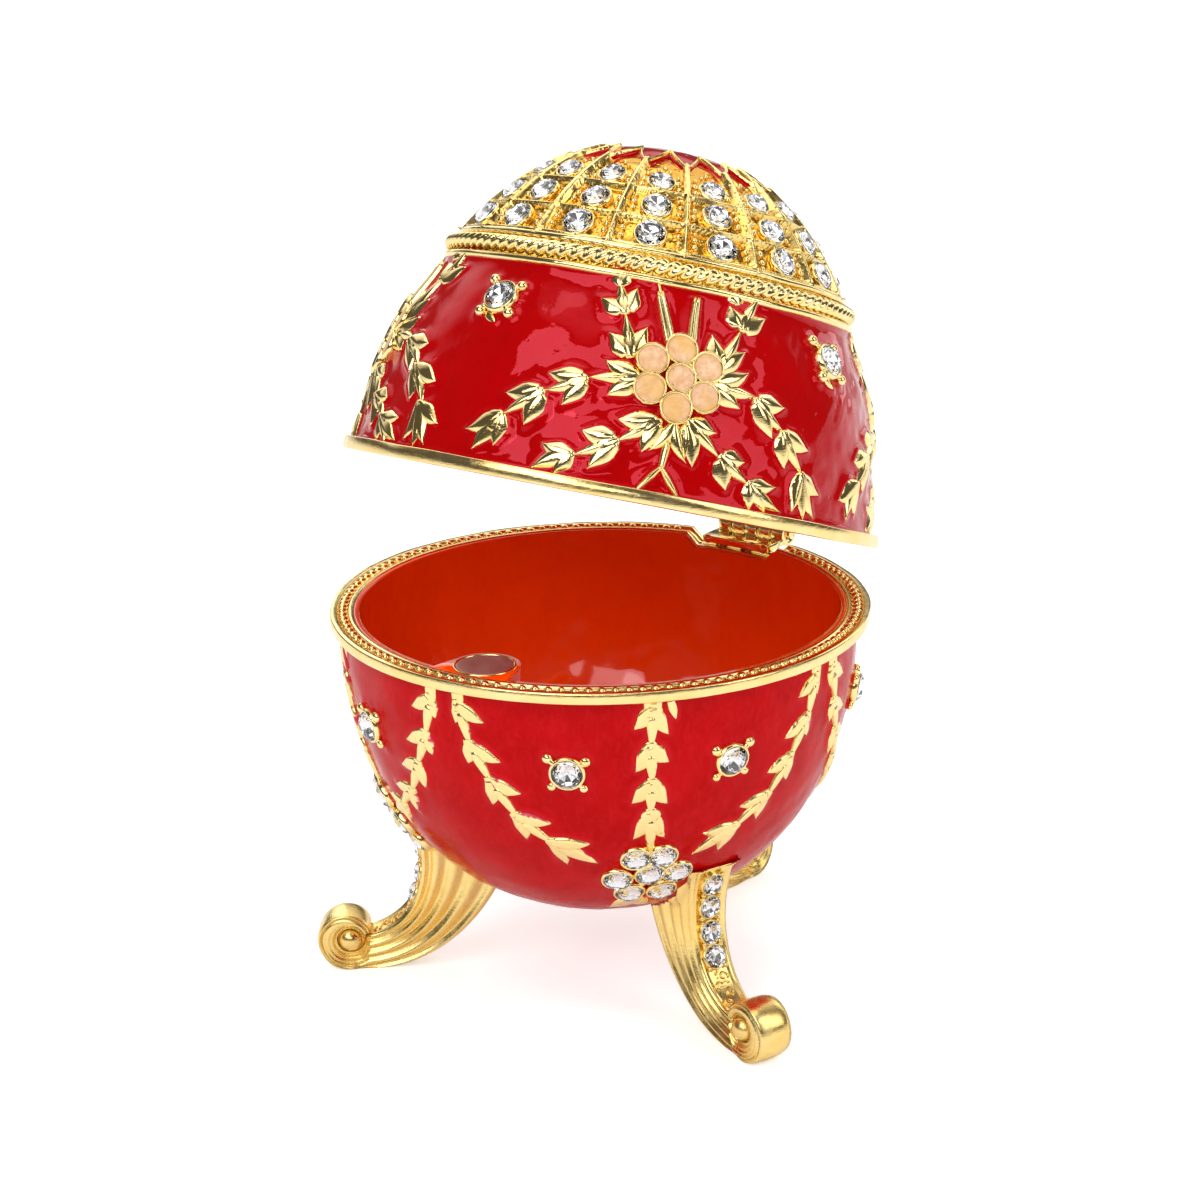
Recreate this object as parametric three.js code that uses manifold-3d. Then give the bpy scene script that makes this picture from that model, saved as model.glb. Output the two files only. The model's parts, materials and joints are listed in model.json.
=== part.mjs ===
// Jewelled egg trinket box on three scroll legs, lid held partly open by its hinge.
// Millimetres, +Z up, standing on z = 0. The hinge is at the back (+Y), its axis along X.
// The lid is modelled open by LID_OPEN_DEG.

import * as THREE from 'three';
import { mergeVertices } from 'three/addons/utils/BufferGeometryUtils.js';
import Module from 'manifold-3d';

const wasm = await Module();
wasm.setup();

// ---------------------------------------------------------------- driving dimensions
const RAD = Math.PI / 180;

const RIM_HEIGHT = 36.6;        // top of the bowl's rim above the ground
const RIM_R = 25.0;             // outer radius of both gold rims
const RIM_BAND = 1.05;          // height of the bowl's rim band
const LIP_R = 22.75;            // inner edge of the rim's flat face
const WALL = 1.55;              // wall of bowl and lid (metal and enamel)

const BOWL_R = 23.9;            // widest radius of the bowl's enamelled wall
const BOWL_DEPTH = 28.1;        // rim to the bowl's lowest point
const BOWL_P = 2.147, BOWL_Q = 2.6;   // egg curve exponents of the bowl

const LID_R = 24.0;             // widest radius of the lid's enamelled wall
const LID_HEIGHT = 32.4;        // lid's rim plane to its top
const LID_P = 1.75, LID_Q = 2.2;      // egg curve exponents of the lid
const LID_BAND = 1.2;           // height of the lid's rim band
const LID_WAIST = 0.5, LID_WAIST_Z = 17.2, LID_WAIST_W = 2.6; // slight waist under the rope
const LID_GAP = 0.25;           // gap between the closed rims

const ROPE_Z = 20.4, ROPE_R = 0.72;   // twisted band round the lid
const CELLS = 16;               // stone cells round the lid's crown
const CELL_PHASE = 8.5;         // degrees
const CELL_ROWS = [21.75, 24.35, 27.1, 29.6]; // heights of the bands between the rows of cells
const CELL_RIB = 0.5;           // height of ribs and bands over the cell floors

const HINGE_Y = 27.0, HINGE_Z = 0.12; // hinge axis, from the egg's axis and from the rim plane
const LID_OPEN_DEG = 20;        // opening modelled
const NOTCH_HALF = 5.2, NOTCH_DEEP = 1.25; // notch for the hinge in both rims
const HINGE_LEN = 7.6, KNUCKLE_R = 1.35, KNUCKLE_BORE = 0.78, PIN_R = 0.48;
const LEAF_T = 0.7;            // thickness of a hinge leaf

const MAGNET_AZ = -85, MAGNET_DIST = 19.75, MAGNET_R = 2.45, MAGNET_H = 1.4;
const BOSS_R = 3.15, BOSS_DEPTH = 6.5;

const UNIT_AZ_BOWL = -43, UNIT_AZ_LID = -45.8; // azimuth of the first of four pattern units
const RELIEF = 0.36;            // how far the gold relief stands over the enamel

const LEG_AZ = [90, -21, -144]; // azimuths of the legs
const LEG_NAMES = ['back', 'front_right', 'front_left'];
const LEG_TOP_W = 2.15, LEG_LOW_W = 1.5, LEG_INNER_W = 1.15; // half widths
const LEG_RIBS = 5, LEG_RIB_A = 0.28;
const VOLUTE = { r: 24.15, z: 3.95, radius: 3.3, halfW: 2.0, bossR: 1.15 };
const LEG_GAP = 0.3;            // solder gap between leg and bowl

const STONE_R_BIG = 1.42, STONE_R_LEG = 1.02;

// ---------------------------------------------------------------- colours
const mat = (name, color, roughness, metalness) =>
  new THREE.MeshStandardMaterial({ name, color, roughness, metalness });
const enamelRed = () => mat('red_enamel', 0xb5101c, 0.12, 0.0);
const gold = () => mat('gold_plate', 0xe8b94a, 0.25, 1.0);
const nickel = () => mat('nickel', 0x9a8a80, 0.2, 1.0);
const crystal = () => mat('crystal', 0xf4f4f8, 0.03, 0.0);

// ---------------------------------------------------------------- solid helpers
function toSolid(geometry) {
  const g = geometry.clone();
  for (const k of Object.keys(g.attributes)) if (k !== 'position') g.deleteAttribute(k);
  const m = mergeVertices(g, 1e-4);
  const pos = m.attributes.position.array;
  const src = m.index.array;
  const tri = [];
  for (let i = 0; i < src.length; i += 3) {
    const [a, b, c] = [src[i], src[i + 1], src[i + 2]];
    if (a !== b && b !== c && a !== c) tri.push(a, b, c);
  }
  let vol = 0;
  for (let i = 0; i < tri.length; i += 3) {
    const p = (k) => new THREE.Vector3(pos[3 * tri[i + k]], pos[3 * tri[i + k] + 1], pos[3 * tri[i + k] + 2]);
    vol += p(0).dot(p(1).cross(p(2)));
  }
  if (vol < 0) for (let i = 0; i < tri.length; i += 3) [tri[i + 1], tri[i + 2]] = [tri[i + 2], tri[i + 1]];
  return new wasm.Manifold(new wasm.Mesh({
    numProp: 3, vertProperties: new Float32Array(pos), triVerts: new Uint32Array(tri),
  }));
}

function toGeometry(solid) {
  const mesh = solid.getMesh();
  const g = new THREE.BufferGeometry();
  const n = mesh.numProp;
  const count = mesh.vertProperties.length / n;
  const pos = new Float32Array(count * 3);
  for (let i = 0; i < count; i++) for (let k = 0; k < 3; k++) pos[3 * i + k] = mesh.vertProperties[n * i + k];
  g.setAttribute('position', new THREE.BufferAttribute(pos, 3));
  g.setIndex(new THREE.BufferAttribute(new Uint32Array(mesh.triVerts), 1));
  g.computeVertexNormals();
  return g;
}

// a grid of rings: rings[i][j], closed round j, and closed at both ends by a fan
function ringSolid(rings, closedLoop = false) {
  const n = rings[0].length, m = rings.length;
  const pos = [];
  for (const r of rings) for (const p of r) pos.push(p.x, p.y, p.z);
  const idx = [];
  const rows = closedLoop ? m : m - 1;
  for (let i = 0; i < rows; i++) {
    const i2 = (i + 1) % m;
    for (let j = 0; j < n; j++) {
      const j2 = (j + 1) % n;
      const a = i * n + j, b = i * n + j2, c = i2 * n + j2, d = i2 * n + j;
      idx.push(a, b, c, a, c, d);
    }
  }
  if (!closedLoop) {
    for (const [row, flip] of [[0, true], [m - 1, false]]) {
      const centre = new THREE.Vector3();
      for (const p of rings[row]) centre.add(p);
      centre.multiplyScalar(1 / n);
      const c = pos.length / 3;
      pos.push(centre.x, centre.y, centre.z);
      for (let j = 0; j < n; j++) {
        const a = row * n + j, b = row * n + (j + 1) % n;
        if (flip) idx.push(c, b, a); else idx.push(c, a, b);
      }
    }
  }
  const g = new THREE.BufferGeometry();
  g.setAttribute('position', new THREE.Float32BufferAttribute(pos, 3));
  g.setIndex(idx);
  return toSolid(g);
}

// a lathe about Z from a closed or axis-to-axis profile of [radius, height]
function latheSolid(profile, segments, phase = 0) {
  const pts = profile.map(([r, z]) => new THREE.Vector2(r, z));
  const g = new THREE.LatheGeometry(pts, segments);
  g.rotateX(Math.PI / 2);
  g.rotateZ(phase);
  return toSolid(g);
}

function cylinder(r, x0, x1, segments = 12, axis = 'z') {
  const g = new THREE.CylinderGeometry(r, r, x1 - x0, segments);
  g.translate(0, (x0 + x1) / 2, 0);
  if (axis === 'z') g.rotateX(Math.PI / 2);
  if (axis === 'x') g.rotateZ(-Math.PI / 2);
  return toSolid(g);
}

function block(x0, x1, y0, y1, z0, z1) {
  const g = new THREE.BoxGeometry(x1 - x0, y1 - y0, z1 - z0);
  g.translate((x0 + x1) / 2, (y0 + y1) / 2, (z0 + z1) / 2);
  return toSolid(g);
}

const unionAll = (list) => list.reduce((a, b) => a.add(b));

// ---------------------------------------------------------------- egg surfaces
// heights are measured from each rim plane: down for the bowl, up for the lid
const bowlR = (t, off = 0) => {
  const R = BOWL_R + off, H = BOWL_DEPTH + off;
  return R * Math.pow(Math.max(0, 1 - Math.pow(Math.min(t, H) / H, BOWL_P)), 1 / BOWL_Q);
};
const lidR = (t, off = 0) => {
  const R = LID_R + off, H = LID_HEIGHT + off;
  const waist = LID_WAIST * Math.exp(-(((t - LID_WAIST_Z) / LID_WAIST_W) ** 2));
  return Math.max(0, R * Math.pow(Math.max(0, 1 - Math.pow(Math.min(t, H) / H, LID_P)), 1 / LID_Q) - waist * (t < H - 4 ? 1 : 0));
};
// a point over a surface: azimuth (rad), height t from the rim, lift along the normal
function onSurface(radiusAt, sign, az, t, lift) {
  const e = 0.05;
  const dr = (radiusAt(t + e) - radiusAt(t - e)) / (2 * e);
  const len = Math.hypot(1, dr);
  const r = radiusAt(t) + lift / len;
  const z = sign * (t - lift * dr / len);
  return new THREE.Vector3(r * Math.cos(az), r * Math.sin(az), z);
}

// a raised plaque: an outline in millimetres on the surface, turned by `turn`
// (0 = its +y runs away from the rim), pressed 0.5 mm into the wall
function plaque(radiusAt, sign, azDeg, t0, outline, turn, height) {
  const c = Math.cos(turn), s = Math.sin(turn);
  const e = 0.05;
  const dr = (radiusAt(t0 + e) - radiusAt(t0 - e)) / (2 * e);
  const along = 1 / Math.hypot(1, dr);
  const r0 = radiusAt(t0);
  const place = ([x, y], lift) => {
    const u = x * c + y * s, v = -x * s + y * c;
    return onSurface(radiusAt, sign, azDeg * RAD + u / r0, t0 + v * along, lift);
  };
  const contour = outline.map(([x, y]) => new THREE.Vector2(x, y));
  if (THREE.ShapeUtils.area(contour) < 0) contour.reverse();
  const faces = THREE.ShapeUtils.triangulateShape(contour, []);
  const n = contour.length, pos = [], idx = [];
  for (const lift of [-0.5, height]) for (const p of contour) { const v = place([p.x, p.y], lift); pos.push(v.x, v.y, v.z); }
  for (const [a, b, d] of faces) { idx.push(a + n, b + n, d + n, a, d, b); }
  for (let i = 0; i < n; i++) { const j = (i + 1) % n; idx.push(i, j, j + n, i, j + n, i + n); }
  const g = new THREE.BufferGeometry();
  g.setAttribute('position', new THREE.Float32BufferAttribute(pos, 3));
  g.setIndex(idx);
  return toSolid(g);
}

const leafPair = (w, l) => [
  [0, -0.4], [w, l], [0, l * 0.45], [-w, l],
];
const rosette = (pitch, cup) => {
  const out = [];
  for (let i = 0; i < 6; i++) {
    const a = (i * 60 + 15) * RAD;
    out.push([Math.cos(a) * (pitch + cup), Math.sin(a) * (pitch + cup)]);
    out.push([Math.cos(a + 30 * RAD) * (pitch + cup * 0.1), Math.sin(a + 30 * RAD) * (pitch + cup * 0.1)]);
  }
  return out;
};

// garlands of a pattern unit: [azimuth offset (deg), height t] along each run
const BOWL_GARLANDS = [
  { run: [[0, 1.6], [0, 5.2], [0, 9.1], [0, 12.8], [0, 16.2]], w: 1.6, l: 2.5 },
  { run: [[40.2, 1.9], [37.6, 5.6], [34.3, 9.3], [28.2, 12.6], [20.5, 15.5], [13.6, 17.6]], w: 1.4, l: 2.5 },
  { run: [[-40.2, 1.9], [-37.6, 5.6], [-34.3, 9.3], [-28.2, 12.6], [-20.5, 15.5], [-13.6, 17.6]], w: 1.4, l: 2.5 },
];
const LID_GARLANDS = [
  { run: [[11, 12.6], [15, 16.2], [18.5, 19.4]], w: 1.5, l: 3.0 },
  { run: [[-11, 12.6], [-15, 16.2], [-18.5, 19.4]], w: 1.5, l: 3.0 },
  { run: [[9.5, 11.0], [19.5, 9.9], [28, 7.7], [36, 4.4]], w: 1.5, l: 3.0 },
  { run: [[-9.5, 11.0], [-19.5, 9.9], [-28, 7.7], [-36, 4.4]], w: 1.5, l: 3.0 },
  { run: [[4.5, 7.6], [12, 5.0], [21, 3.0]], w: 1.4, l: 2.4 },
  { run: [[-4.5, 7.6], [-12, 5.0], [-21, 3.0]], w: 1.4, l: 2.4 },
];
function garlandLeaves(radiusAt, sign, units, garlands, height) {
  const list = [];
  for (const az0 of units) for (const { run, w, l } of garlands) {
    for (let i = 0; i + 1 < run.length; i++) {
      const [a0, t0] = run[i], [a1, t1] = run[i + 1];
      const rr = radiusAt((t0 + t1) / 2);
      const dx = (a1 - a0) * RAD * rr, dy = Math.hypot(t1 - t0, radiusAt(t1) - radiusAt(t0)) * Math.sign(t1 - t0);
      list.push({ az: az0 + a0, t: t0, solid: plaque(radiusAt, sign, az0 + a0, t0, leafPair(w, l), Math.atan2(dx, dy), height) });
    }
  }
  return list;
}
const units = (first) => [0, 1, 2, 3].map((k) => first + 90 * k);
const azGap = (a, b) => Math.abs(((a - b) % 360 + 540) % 360 - 180);

// ---------------------------------------------------------------- bowl
const bowlSteps = (n, from, to) => Array.from({ length: n }, (_, i) => from + (to - from) * Math.sin((i / (n - 1)) * Math.PI / 2));
const inR = (t) => {
  const R = BOWL_R - WALL, H = BOWL_DEPTH - WALL - 0.1;
  return R * Math.pow(Math.max(0, 1 - Math.pow(Math.min(t, H) / H, BOWL_P)), 1 / BOWL_Q);
};
const bowlProfile = [
  ...bowlSteps(11, RIM_BAND, BOWL_DEPTH).reverse().map((t) => [bowlR(t), -t]),
  [RIM_R, -RIM_BAND], [RIM_R, 0],
  [24.25, 0], [24.15, -0.3], [23.15, -0.3], [23.05, 0],
  [LIP_R, 0], [LIP_R, -0.6], [inR(0.9), -0.9],
  ...bowlSteps(8, 0.9, BOWL_DEPTH - WALL - 0.1).slice(1).map((t) => [inR(t), -t]),
];
const bowlOuter = latheSolid([[0, 0], ...bowlSteps(13, 0, BOWL_DEPTH).map((t) => [Math.max(0, bowlR(t) - 0.2), -t])], 32);

function boss(sign, radiusAt) {
  // short round boss that carries a magnet, running into the wall below it
  const x = MAGNET_DIST * Math.cos(MAGNET_AZ * RAD), y = MAGNET_DIST * Math.sin(MAGNET_AZ * RAD);
  const g = new THREE.LatheGeometry([
    new THREE.Vector2(0, 0.15), new THREE.Vector2(BOSS_R, 0.15), new THREE.Vector2(BOSS_R, BOSS_DEPTH * 0.55),
    new THREE.Vector2(BOSS_R * 0.55, BOSS_DEPTH), new THREE.Vector2(0, BOSS_DEPTH + 0.4)], 16);
  g.rotateX(Math.PI / 2);
  if (sign < 0) g.scale(1, 1, -1);
  g.translate(x, y, 0);
  return { boss: toSolid(g), x, y };
}
function magnetPocket(sign, x, y) {
  const a = 0.02, b = MAGNET_H + 0.45;
  const c = sign > 0 ? cylinder(MAGNET_R + 0.3, -a, b, 20) : cylinder(MAGNET_R + 0.3, -b, a, 20);
  return c.translate([x, y, 0]);
}

const legShadows = LEG_AZ.map((az) => block(8, 30, -2.75, 2.75, -40, -18.4).rotate([0, 0, az]));

function makeBowl() {
  let shell = latheSolid([...bowlProfile, bowlProfile[0]], 32);
  const b = boss(-1);
  shell = shell.add(b.boss.intersect(bowlOuter)).subtract(magnetPocket(-1, b.x, b.y));
  const relief = [
    ...garlandLeaves(bowlR, -1, units(UNIT_AZ_BOWL), BOWL_GARLANDS, RELIEF).map((o) => o.solid),
    ...units(UNIT_AZ_BOWL + 1.5).map((az) => plaque(bowlR, -1, az, 19.3, rosette(2.75, 1.45), 0, 0.5)),
  ];
  let all = unionAll(relief);
  for (const s of legShadows) all = all.subtract(s);
  shell = shell.add(all);
  return shell.subtract(block(-NOTCH_HALF, NOTCH_HALF, 21.5, 27, -NOTCH_DEEP, 1));
}

// ---------------------------------------------------------------- lid (closed position, rim plane at z = 0)
function lidOuterRings() {
  const az = [];
  for (let k = 0; k < CELLS; k++) az.push((k * 360 / CELLS + CELL_PHASE - 180 / CELLS) * RAD, (k * 360 / CELLS + CELL_PHASE) * RAD);
  const ring = (f) => az.map((a, j) => { const [r, z] = f(j % 2 === 0); return new THREE.Vector3(r * Math.cos(a), r * Math.sin(a), z); });
  const plain = (r, z) => ring(() => [r, z]);
  const rings = [plain(RIM_R - 0.1, 0), plain(RIM_R - 0.1, LID_BAND)];
  for (const t of [LID_BAND + 0.05, 4, 7.5, 11, 14.5, 17.5]) rings.push(plain(lidR(t), t));
  for (const [dz, dr] of [[-1.0, 0.0], [-0.3, ROPE_R], [0.35, ROPE_R]]) rings.push(plain(lidR(ROPE_Z + dz) + dr + 0.25, ROPE_Z + dz));
  for (let i = 0; i < CELL_ROWS.length; i++) {
    const zb = CELL_ROWS[i];
    rings.push(ring(() => [lidR(zb) + CELL_RIB + 0.1, zb]));
    const top = i + 1 < CELL_ROWS.length ? CELL_ROWS[i + 1] - 0.45 : null;
    for (const z of top ? [zb + 0.5, top] : [zb + 0.6]) rings.push(ring((rib) => [lidR(z) + (rib ? CELL_RIB : 0), z]));
  }
  for (const t of [31.2, 32.0]) rings.push(plain(lidR(t), t));
  return rings;
}
const lidIn = (t) => {
  const R = LID_R - WALL, H = LID_HEIGHT - WALL - 0.1;
  return Math.max(0.001, R * Math.pow(Math.max(0, 1 - Math.pow(Math.min(t, H) / H, LID_P)), 1 / LID_Q) - (t > 6 && t < 28 ? 0.35 : 0));
};
function makeLid() {
  const outer = ringSolid(lidOuterRings());
  const H = LID_HEIGHT - WALL - 0.1;
  const cavityProfile = [[0, -1], [LIP_R, -1], [LIP_R, 0.6], [lidIn(0.95), 0.95],
    ...[5, 10.5, 16, 21, 25, 28.2, 30.2].map((t) => [lidIn(t), t]), [0, H]];
  const cavity = latheSolid(cavityProfile, 32, CELL_PHASE * RAD);
  const b = boss(1);
  let lid = outer.subtract(cavity.subtract(b.boss)).subtract(magnetPocket(1, b.x, b.y));
  const relief = [
    ...garlandLeaves(lidR, 1, units(UNIT_AZ_LID), LID_GARLANDS, 0.55).map((o) => o.solid),
    ...units(UNIT_AZ_LID).map((az) => plaque(lidR, 1, az, 10.9, rosette(2.75, 1.4), 0, 0.7)),
  ];
  lid = lid.add(unionAll(relief));
  return lid.subtract(block(-NOTCH_HALF, NOTCH_HALF, 21.5, 27, -1, NOTCH_DEEP));
}

// ---------------------------------------------------------------- hinge
const KN = (HINGE_LEN - 4 * 0.3) / 5;
const knuckleSpan = (k) => { const x0 = -HINGE_LEN / 2 + k * (KN + 0.3); return [x0, x0 + KN]; };
function hingeLeaf(which) {
  // which: -1 bowl leaf (knuckles 0, 2, 4), +1 lid leaf (knuckles 1, 3); z from the rim plane
  const zc = HINGE_Z, zb = which < 0 ? -NOTCH_DEEP + 0.3 : LID_GAP + NOTCH_DEEP - 0.3 - LEAF_T;
  const plate = block(-HINGE_LEN / 2, HINGE_LEN / 2, 22.9, HINGE_Y - KNUCKLE_R - 0.32, zb, zb + LEAF_T);
  const parts = [plate];
  for (const k of which < 0 ? [0, 2, 4] : [1, 3]) {
    const [x0, x1] = knuckleSpan(k);
    parts.push(cylinder(KNUCKLE_R, x0, x1, 12, 'x').translate([0, HINGE_Y, zc]));
    parts.push(block(x0, x1, HINGE_Y - KNUCKLE_R - 0.6, HINGE_Y - KNUCKLE_R * 0.4, zb, zb + LEAF_T));
  }
  return unionAll(parts).subtract(cylinder(KNUCKLE_BORE, -HINGE_LEN, HINGE_LEN, 10, 'x').translate([0, HINGE_Y, zc]));
}
const makePin = () => cylinder(PIN_R, -HINGE_LEN / 2 - 0.25, HINGE_LEN / 2 + 0.25, 12, 'x').translate([0, HINGE_Y, HINGE_Z]);

// ---------------------------------------------------------------- legs (in the plane y = 0, reaching along +x, ground at z = 0)
const V2 = (r, z) => new THREE.Vector2(r, z);
const legOuter = new THREE.CubicBezierCurve(V2(18.9, 17.4), V2(16.1, 12.8), V2(16.5, 5.6), V2(22.3, 4.55));
const legInner = new THREE.CubicBezierCurve(V2(9.0, 11.2), V2(11.2, 5.5), V2(15.5, 0.15), V2(22.8, -0.25));
function makeLeg() {
  const rows = 7, rings = [];
  for (let i = 0; i <= rows; i++) {
    const t = i / rows;
    const o = legOuter.getPoint(t), n = legInner.getPoint(t);
    const wo = LEG_TOP_W + (LEG_LOW_W - LEG_TOP_W) * t, wi = LEG_INNER_W;
    const side = [];
    const steps = 2 * LEG_RIBS;
    for (let k = 0; k <= steps; k++) {
      const s = 0.04 + 0.96 * k / steps;
      const y = wo + (wi - wo) * s + (k % 2 ? LEG_RIB_A : 0) * (1 - 0.35 * t);
      side.push([o.x + (n.x - o.x) * s, y, o.y + (n.y - o.y) * s]);
    }
    const ring = [];
    ring.push(new THREE.Vector3(o.x, -wo + 0.25, o.y));
    ring.push(new THREE.Vector3(o.x, wo - 0.25, o.y));
    for (const [x, y, z] of side) ring.push(new THREE.Vector3(x, y, z));
    const dir = n.clone().sub(o).normalize();
    ring.push(new THREE.Vector3(n.x + dir.x * 0.25, 0, n.y + dir.y * 0.25));
    for (const [x, y, z] of side.reverse()) ring.push(new THREE.Vector3(x, -y, z));
    rings.push(ring);
  }
  const strip = ringSolid(rings);
  const { r, z, radius, halfW, bossR } = VOLUTE;
  const half = [[0, halfW + 0.65], [bossR * 0.75, halfW + 0.4], [bossR + 0.15, halfW - 0.3], [2.3, halfW], [radius, halfW - 0.5]];
  const profile = [...half, ...half.map(([a, b]) => [a, -b]).reverse()];
  const scroll = latheSolid(profile, 12).rotate([90, 0, 0]).translate([r, 0, z]);
  const cutter = latheSolid([[0, 2], ...bowlSteps(13, 0, BOWL_DEPTH + LEG_GAP).map((t) => [bowlR(Math.min(t, BOWL_DEPTH + LEG_GAP), LEG_GAP), -t])], 32)
    .translate([0, 0, RIM_HEIGHT]);
  return strip.add(scroll).subtract(cutter).subtract(block(0, 40, -5, 5, -5, 0));
}

// ---------------------------------------------------------------- stones
function chaton(R, segments = 6) {
  return latheSolid([[0, 0], [R * 0.72, 0], [R, R * 0.42], [R * 0.6, R * 0.86], [0, R * 0.86]], segments);
}
function stoneOn(radiusAt, sign, azDeg, t, R) {
  const p = onSurface(radiusAt, sign, azDeg * RAD, t, 0.32);
  const q = onSurface(radiusAt, sign, azDeg * RAD, t, 1.32);
  const normal = q.sub(p).normalize();
  const g = toGeometry(chaton(R));
  g.applyQuaternion(new THREE.Quaternion().setFromUnitVectors(new THREE.Vector3(0, 0, 1), normal));
  g.translate(p.x, p.y, p.z);
  return g;
}

// ---------------------------------------------------------------- scene graph
const group = new THREE.Group();
const bodyGroup = new THREE.Group();          // everything fixed to the bowl
const upper = new THREE.Group();              // rim plane at z = 0
upper.position.set(0, 0, RIM_HEIGHT);
bodyGroup.add(upper);

const lidPivot = new THREE.Group();           // turns about the hinge axis
lidPivot.position.set(0, HINGE_Y, RIM_HEIGHT + HINGE_Z);
lidPivot.rotation.x = -LID_OPEN_DEG * RAD;
const lidGroup = new THREE.Group();           // closed lid's rim plane
lidGroup.position.set(0, -HINGE_Y, LID_GAP - HINGE_Z);
lidPivot.add(lidGroup);

function add(parent, name, geometry, material) {
  const m = new THREE.Mesh(geometry, material);
  m.name = name;
  parent.add(m);
  return m;
}

add(upper, 'bowl', toGeometry(makeBowl()), enamelRed());
add(lidGroup, 'lid', toGeometry(makeLid()), enamelRed());
add(upper, 'hinge_leaf_bowl', toGeometry(hingeLeaf(-1)), gold());
add(lidGroup, 'hinge_leaf_lid', toGeometry(hingeLeaf(1).translate([0, 0, -LID_GAP])), gold());
add(upper, 'hinge_pin', toGeometry(makePin()), gold());

const mx = MAGNET_DIST * Math.cos(MAGNET_AZ * RAD), my = MAGNET_DIST * Math.sin(MAGNET_AZ * RAD);
add(upper, 'magnet_bowl', toGeometry(cylinder(MAGNET_R, -MAGNET_H - 0.12, -0.12, 20).translate([mx, my, 0])), nickel());
add(lidGroup, 'magnet_lid', toGeometry(cylinder(MAGNET_R, 0.12, MAGNET_H + 0.12, 20).translate([mx, my, 0])), nickel());

const legGeometry = toGeometry(makeLeg());
LEG_AZ.forEach((az, i) => {
  const leg = new THREE.Group();
  leg.rotation.z = az * RAD;
  bodyGroup.add(leg);
  add(leg, `leg_${LEG_NAMES[i]}`, legGeometry.clone(), gold());
  // four stones down the leg's outer face
  [14.9, 12.5, 10.1, 7.9].forEach((zc, k) => {
    let t = 0, best = 1e9;
    for (let s = 0; s <= 1; s += 0.002) { const d = Math.abs(legOuter.getPoint(s).y - zc); if (d < best) { best = d; t = s; } }
    const p = legOuter.getPoint(t), tan = legOuter.getTangent(t);
    const nx = -tan.y, nz = tan.x;             // away from the leg
    const g = toGeometry(chaton(STONE_R_LEG));
    g.rotateY(Math.atan2(nx, nz));
    g.translate(p.x + nx * 0.3, 0, p.y + nz * 0.3);
    add(leg, `stone_leg_${LEG_NAMES[i]}_${k + 1}`, g, crystal());
  });
});

let n = 1;
for (const az of units(UNIT_AZ_BOWL)) for (const d of [-18.3, 18.3]) {
  add(upper, `stone_bowl_${n++}`, stoneOn(bowlR, -1, az + d, 7.75, STONE_R_BIG), crystal());
}
n = 1;
for (const az of units(UNIT_AZ_LID + 45)) add(lidGroup, `stone_lid_${n++}`, stoneOn(lidR, 1, az, 15.2, STONE_R_BIG), crystal());

group.add(bodyGroup, lidPivot);
// origin: ground plane, centre of the whole object's footprint box
group.updateMatrixWorld(true);
const box = new THREE.Box3().setFromObject(group, true);
group.position.set(-(box.min.x + box.max.x) / 2, -(box.min.y + box.max.y) / 2, -box.min.z);

export default group;
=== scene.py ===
# Jewelled egg trinket box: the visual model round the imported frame.
# Lengths below are millimetres until a mesh is built; +Z up, hinge at the back (+Y).
import math

import bpy
import bmesh
import numpy as np
from mathutils import Matrix, Vector, kdtree
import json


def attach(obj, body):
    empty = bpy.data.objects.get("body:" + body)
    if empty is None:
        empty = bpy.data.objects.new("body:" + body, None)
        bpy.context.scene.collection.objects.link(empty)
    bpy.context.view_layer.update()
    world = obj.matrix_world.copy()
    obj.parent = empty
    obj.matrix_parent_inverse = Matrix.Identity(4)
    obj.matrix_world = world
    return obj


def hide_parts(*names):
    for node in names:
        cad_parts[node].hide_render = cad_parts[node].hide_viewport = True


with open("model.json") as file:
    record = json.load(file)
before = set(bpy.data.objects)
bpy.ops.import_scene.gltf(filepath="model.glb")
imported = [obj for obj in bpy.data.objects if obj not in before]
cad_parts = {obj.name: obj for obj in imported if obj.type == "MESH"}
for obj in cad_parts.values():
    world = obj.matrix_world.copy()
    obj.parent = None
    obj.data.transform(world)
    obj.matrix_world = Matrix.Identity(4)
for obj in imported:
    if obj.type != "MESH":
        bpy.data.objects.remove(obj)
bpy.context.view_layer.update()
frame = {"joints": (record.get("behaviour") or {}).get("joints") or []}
RAD = math.pi / 180

# ---------------------------------------------------------------- placing
hinge = frame["joints"][0]["pos_m"]
HINGE_Y, HINGE_Z = 27.0, 0.12                    # hinge axis in the egg's own frame, from the rim plane
RIM_Z = hinge[2] * 1000 - HINGE_Z                # bowl's rim plane above the floor
SHIFT = np.array([hinge[0] * 1000, hinge[1] * 1000 - HINGE_Y, 0.0])
OPEN = 20 * RAD
LID_GAP = 0.25


def on_base(p):
    """egg frame, rim plane at z = 0 -> row frame in metres"""
    return (p + SHIFT + np.array([0, 0, RIM_Z])) * 1e-3


def on_lid(p):
    """shut lid, its rim plane at z = 0 -> row frame in metres, lid open as modelled"""
    dy, dz = p[:, 1] - HINGE_Y, p[:, 2] + LID_GAP - HINGE_Z
    c, s = math.cos(OPEN), math.sin(OPEN)
    q = np.stack([p[:, 0], HINGE_Y + dy * c + dz * s, HINGE_Z - dy * s + dz * c], -1)
    return on_base(q)


PLACE = {"base": on_base, "lid": on_lid}


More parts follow.
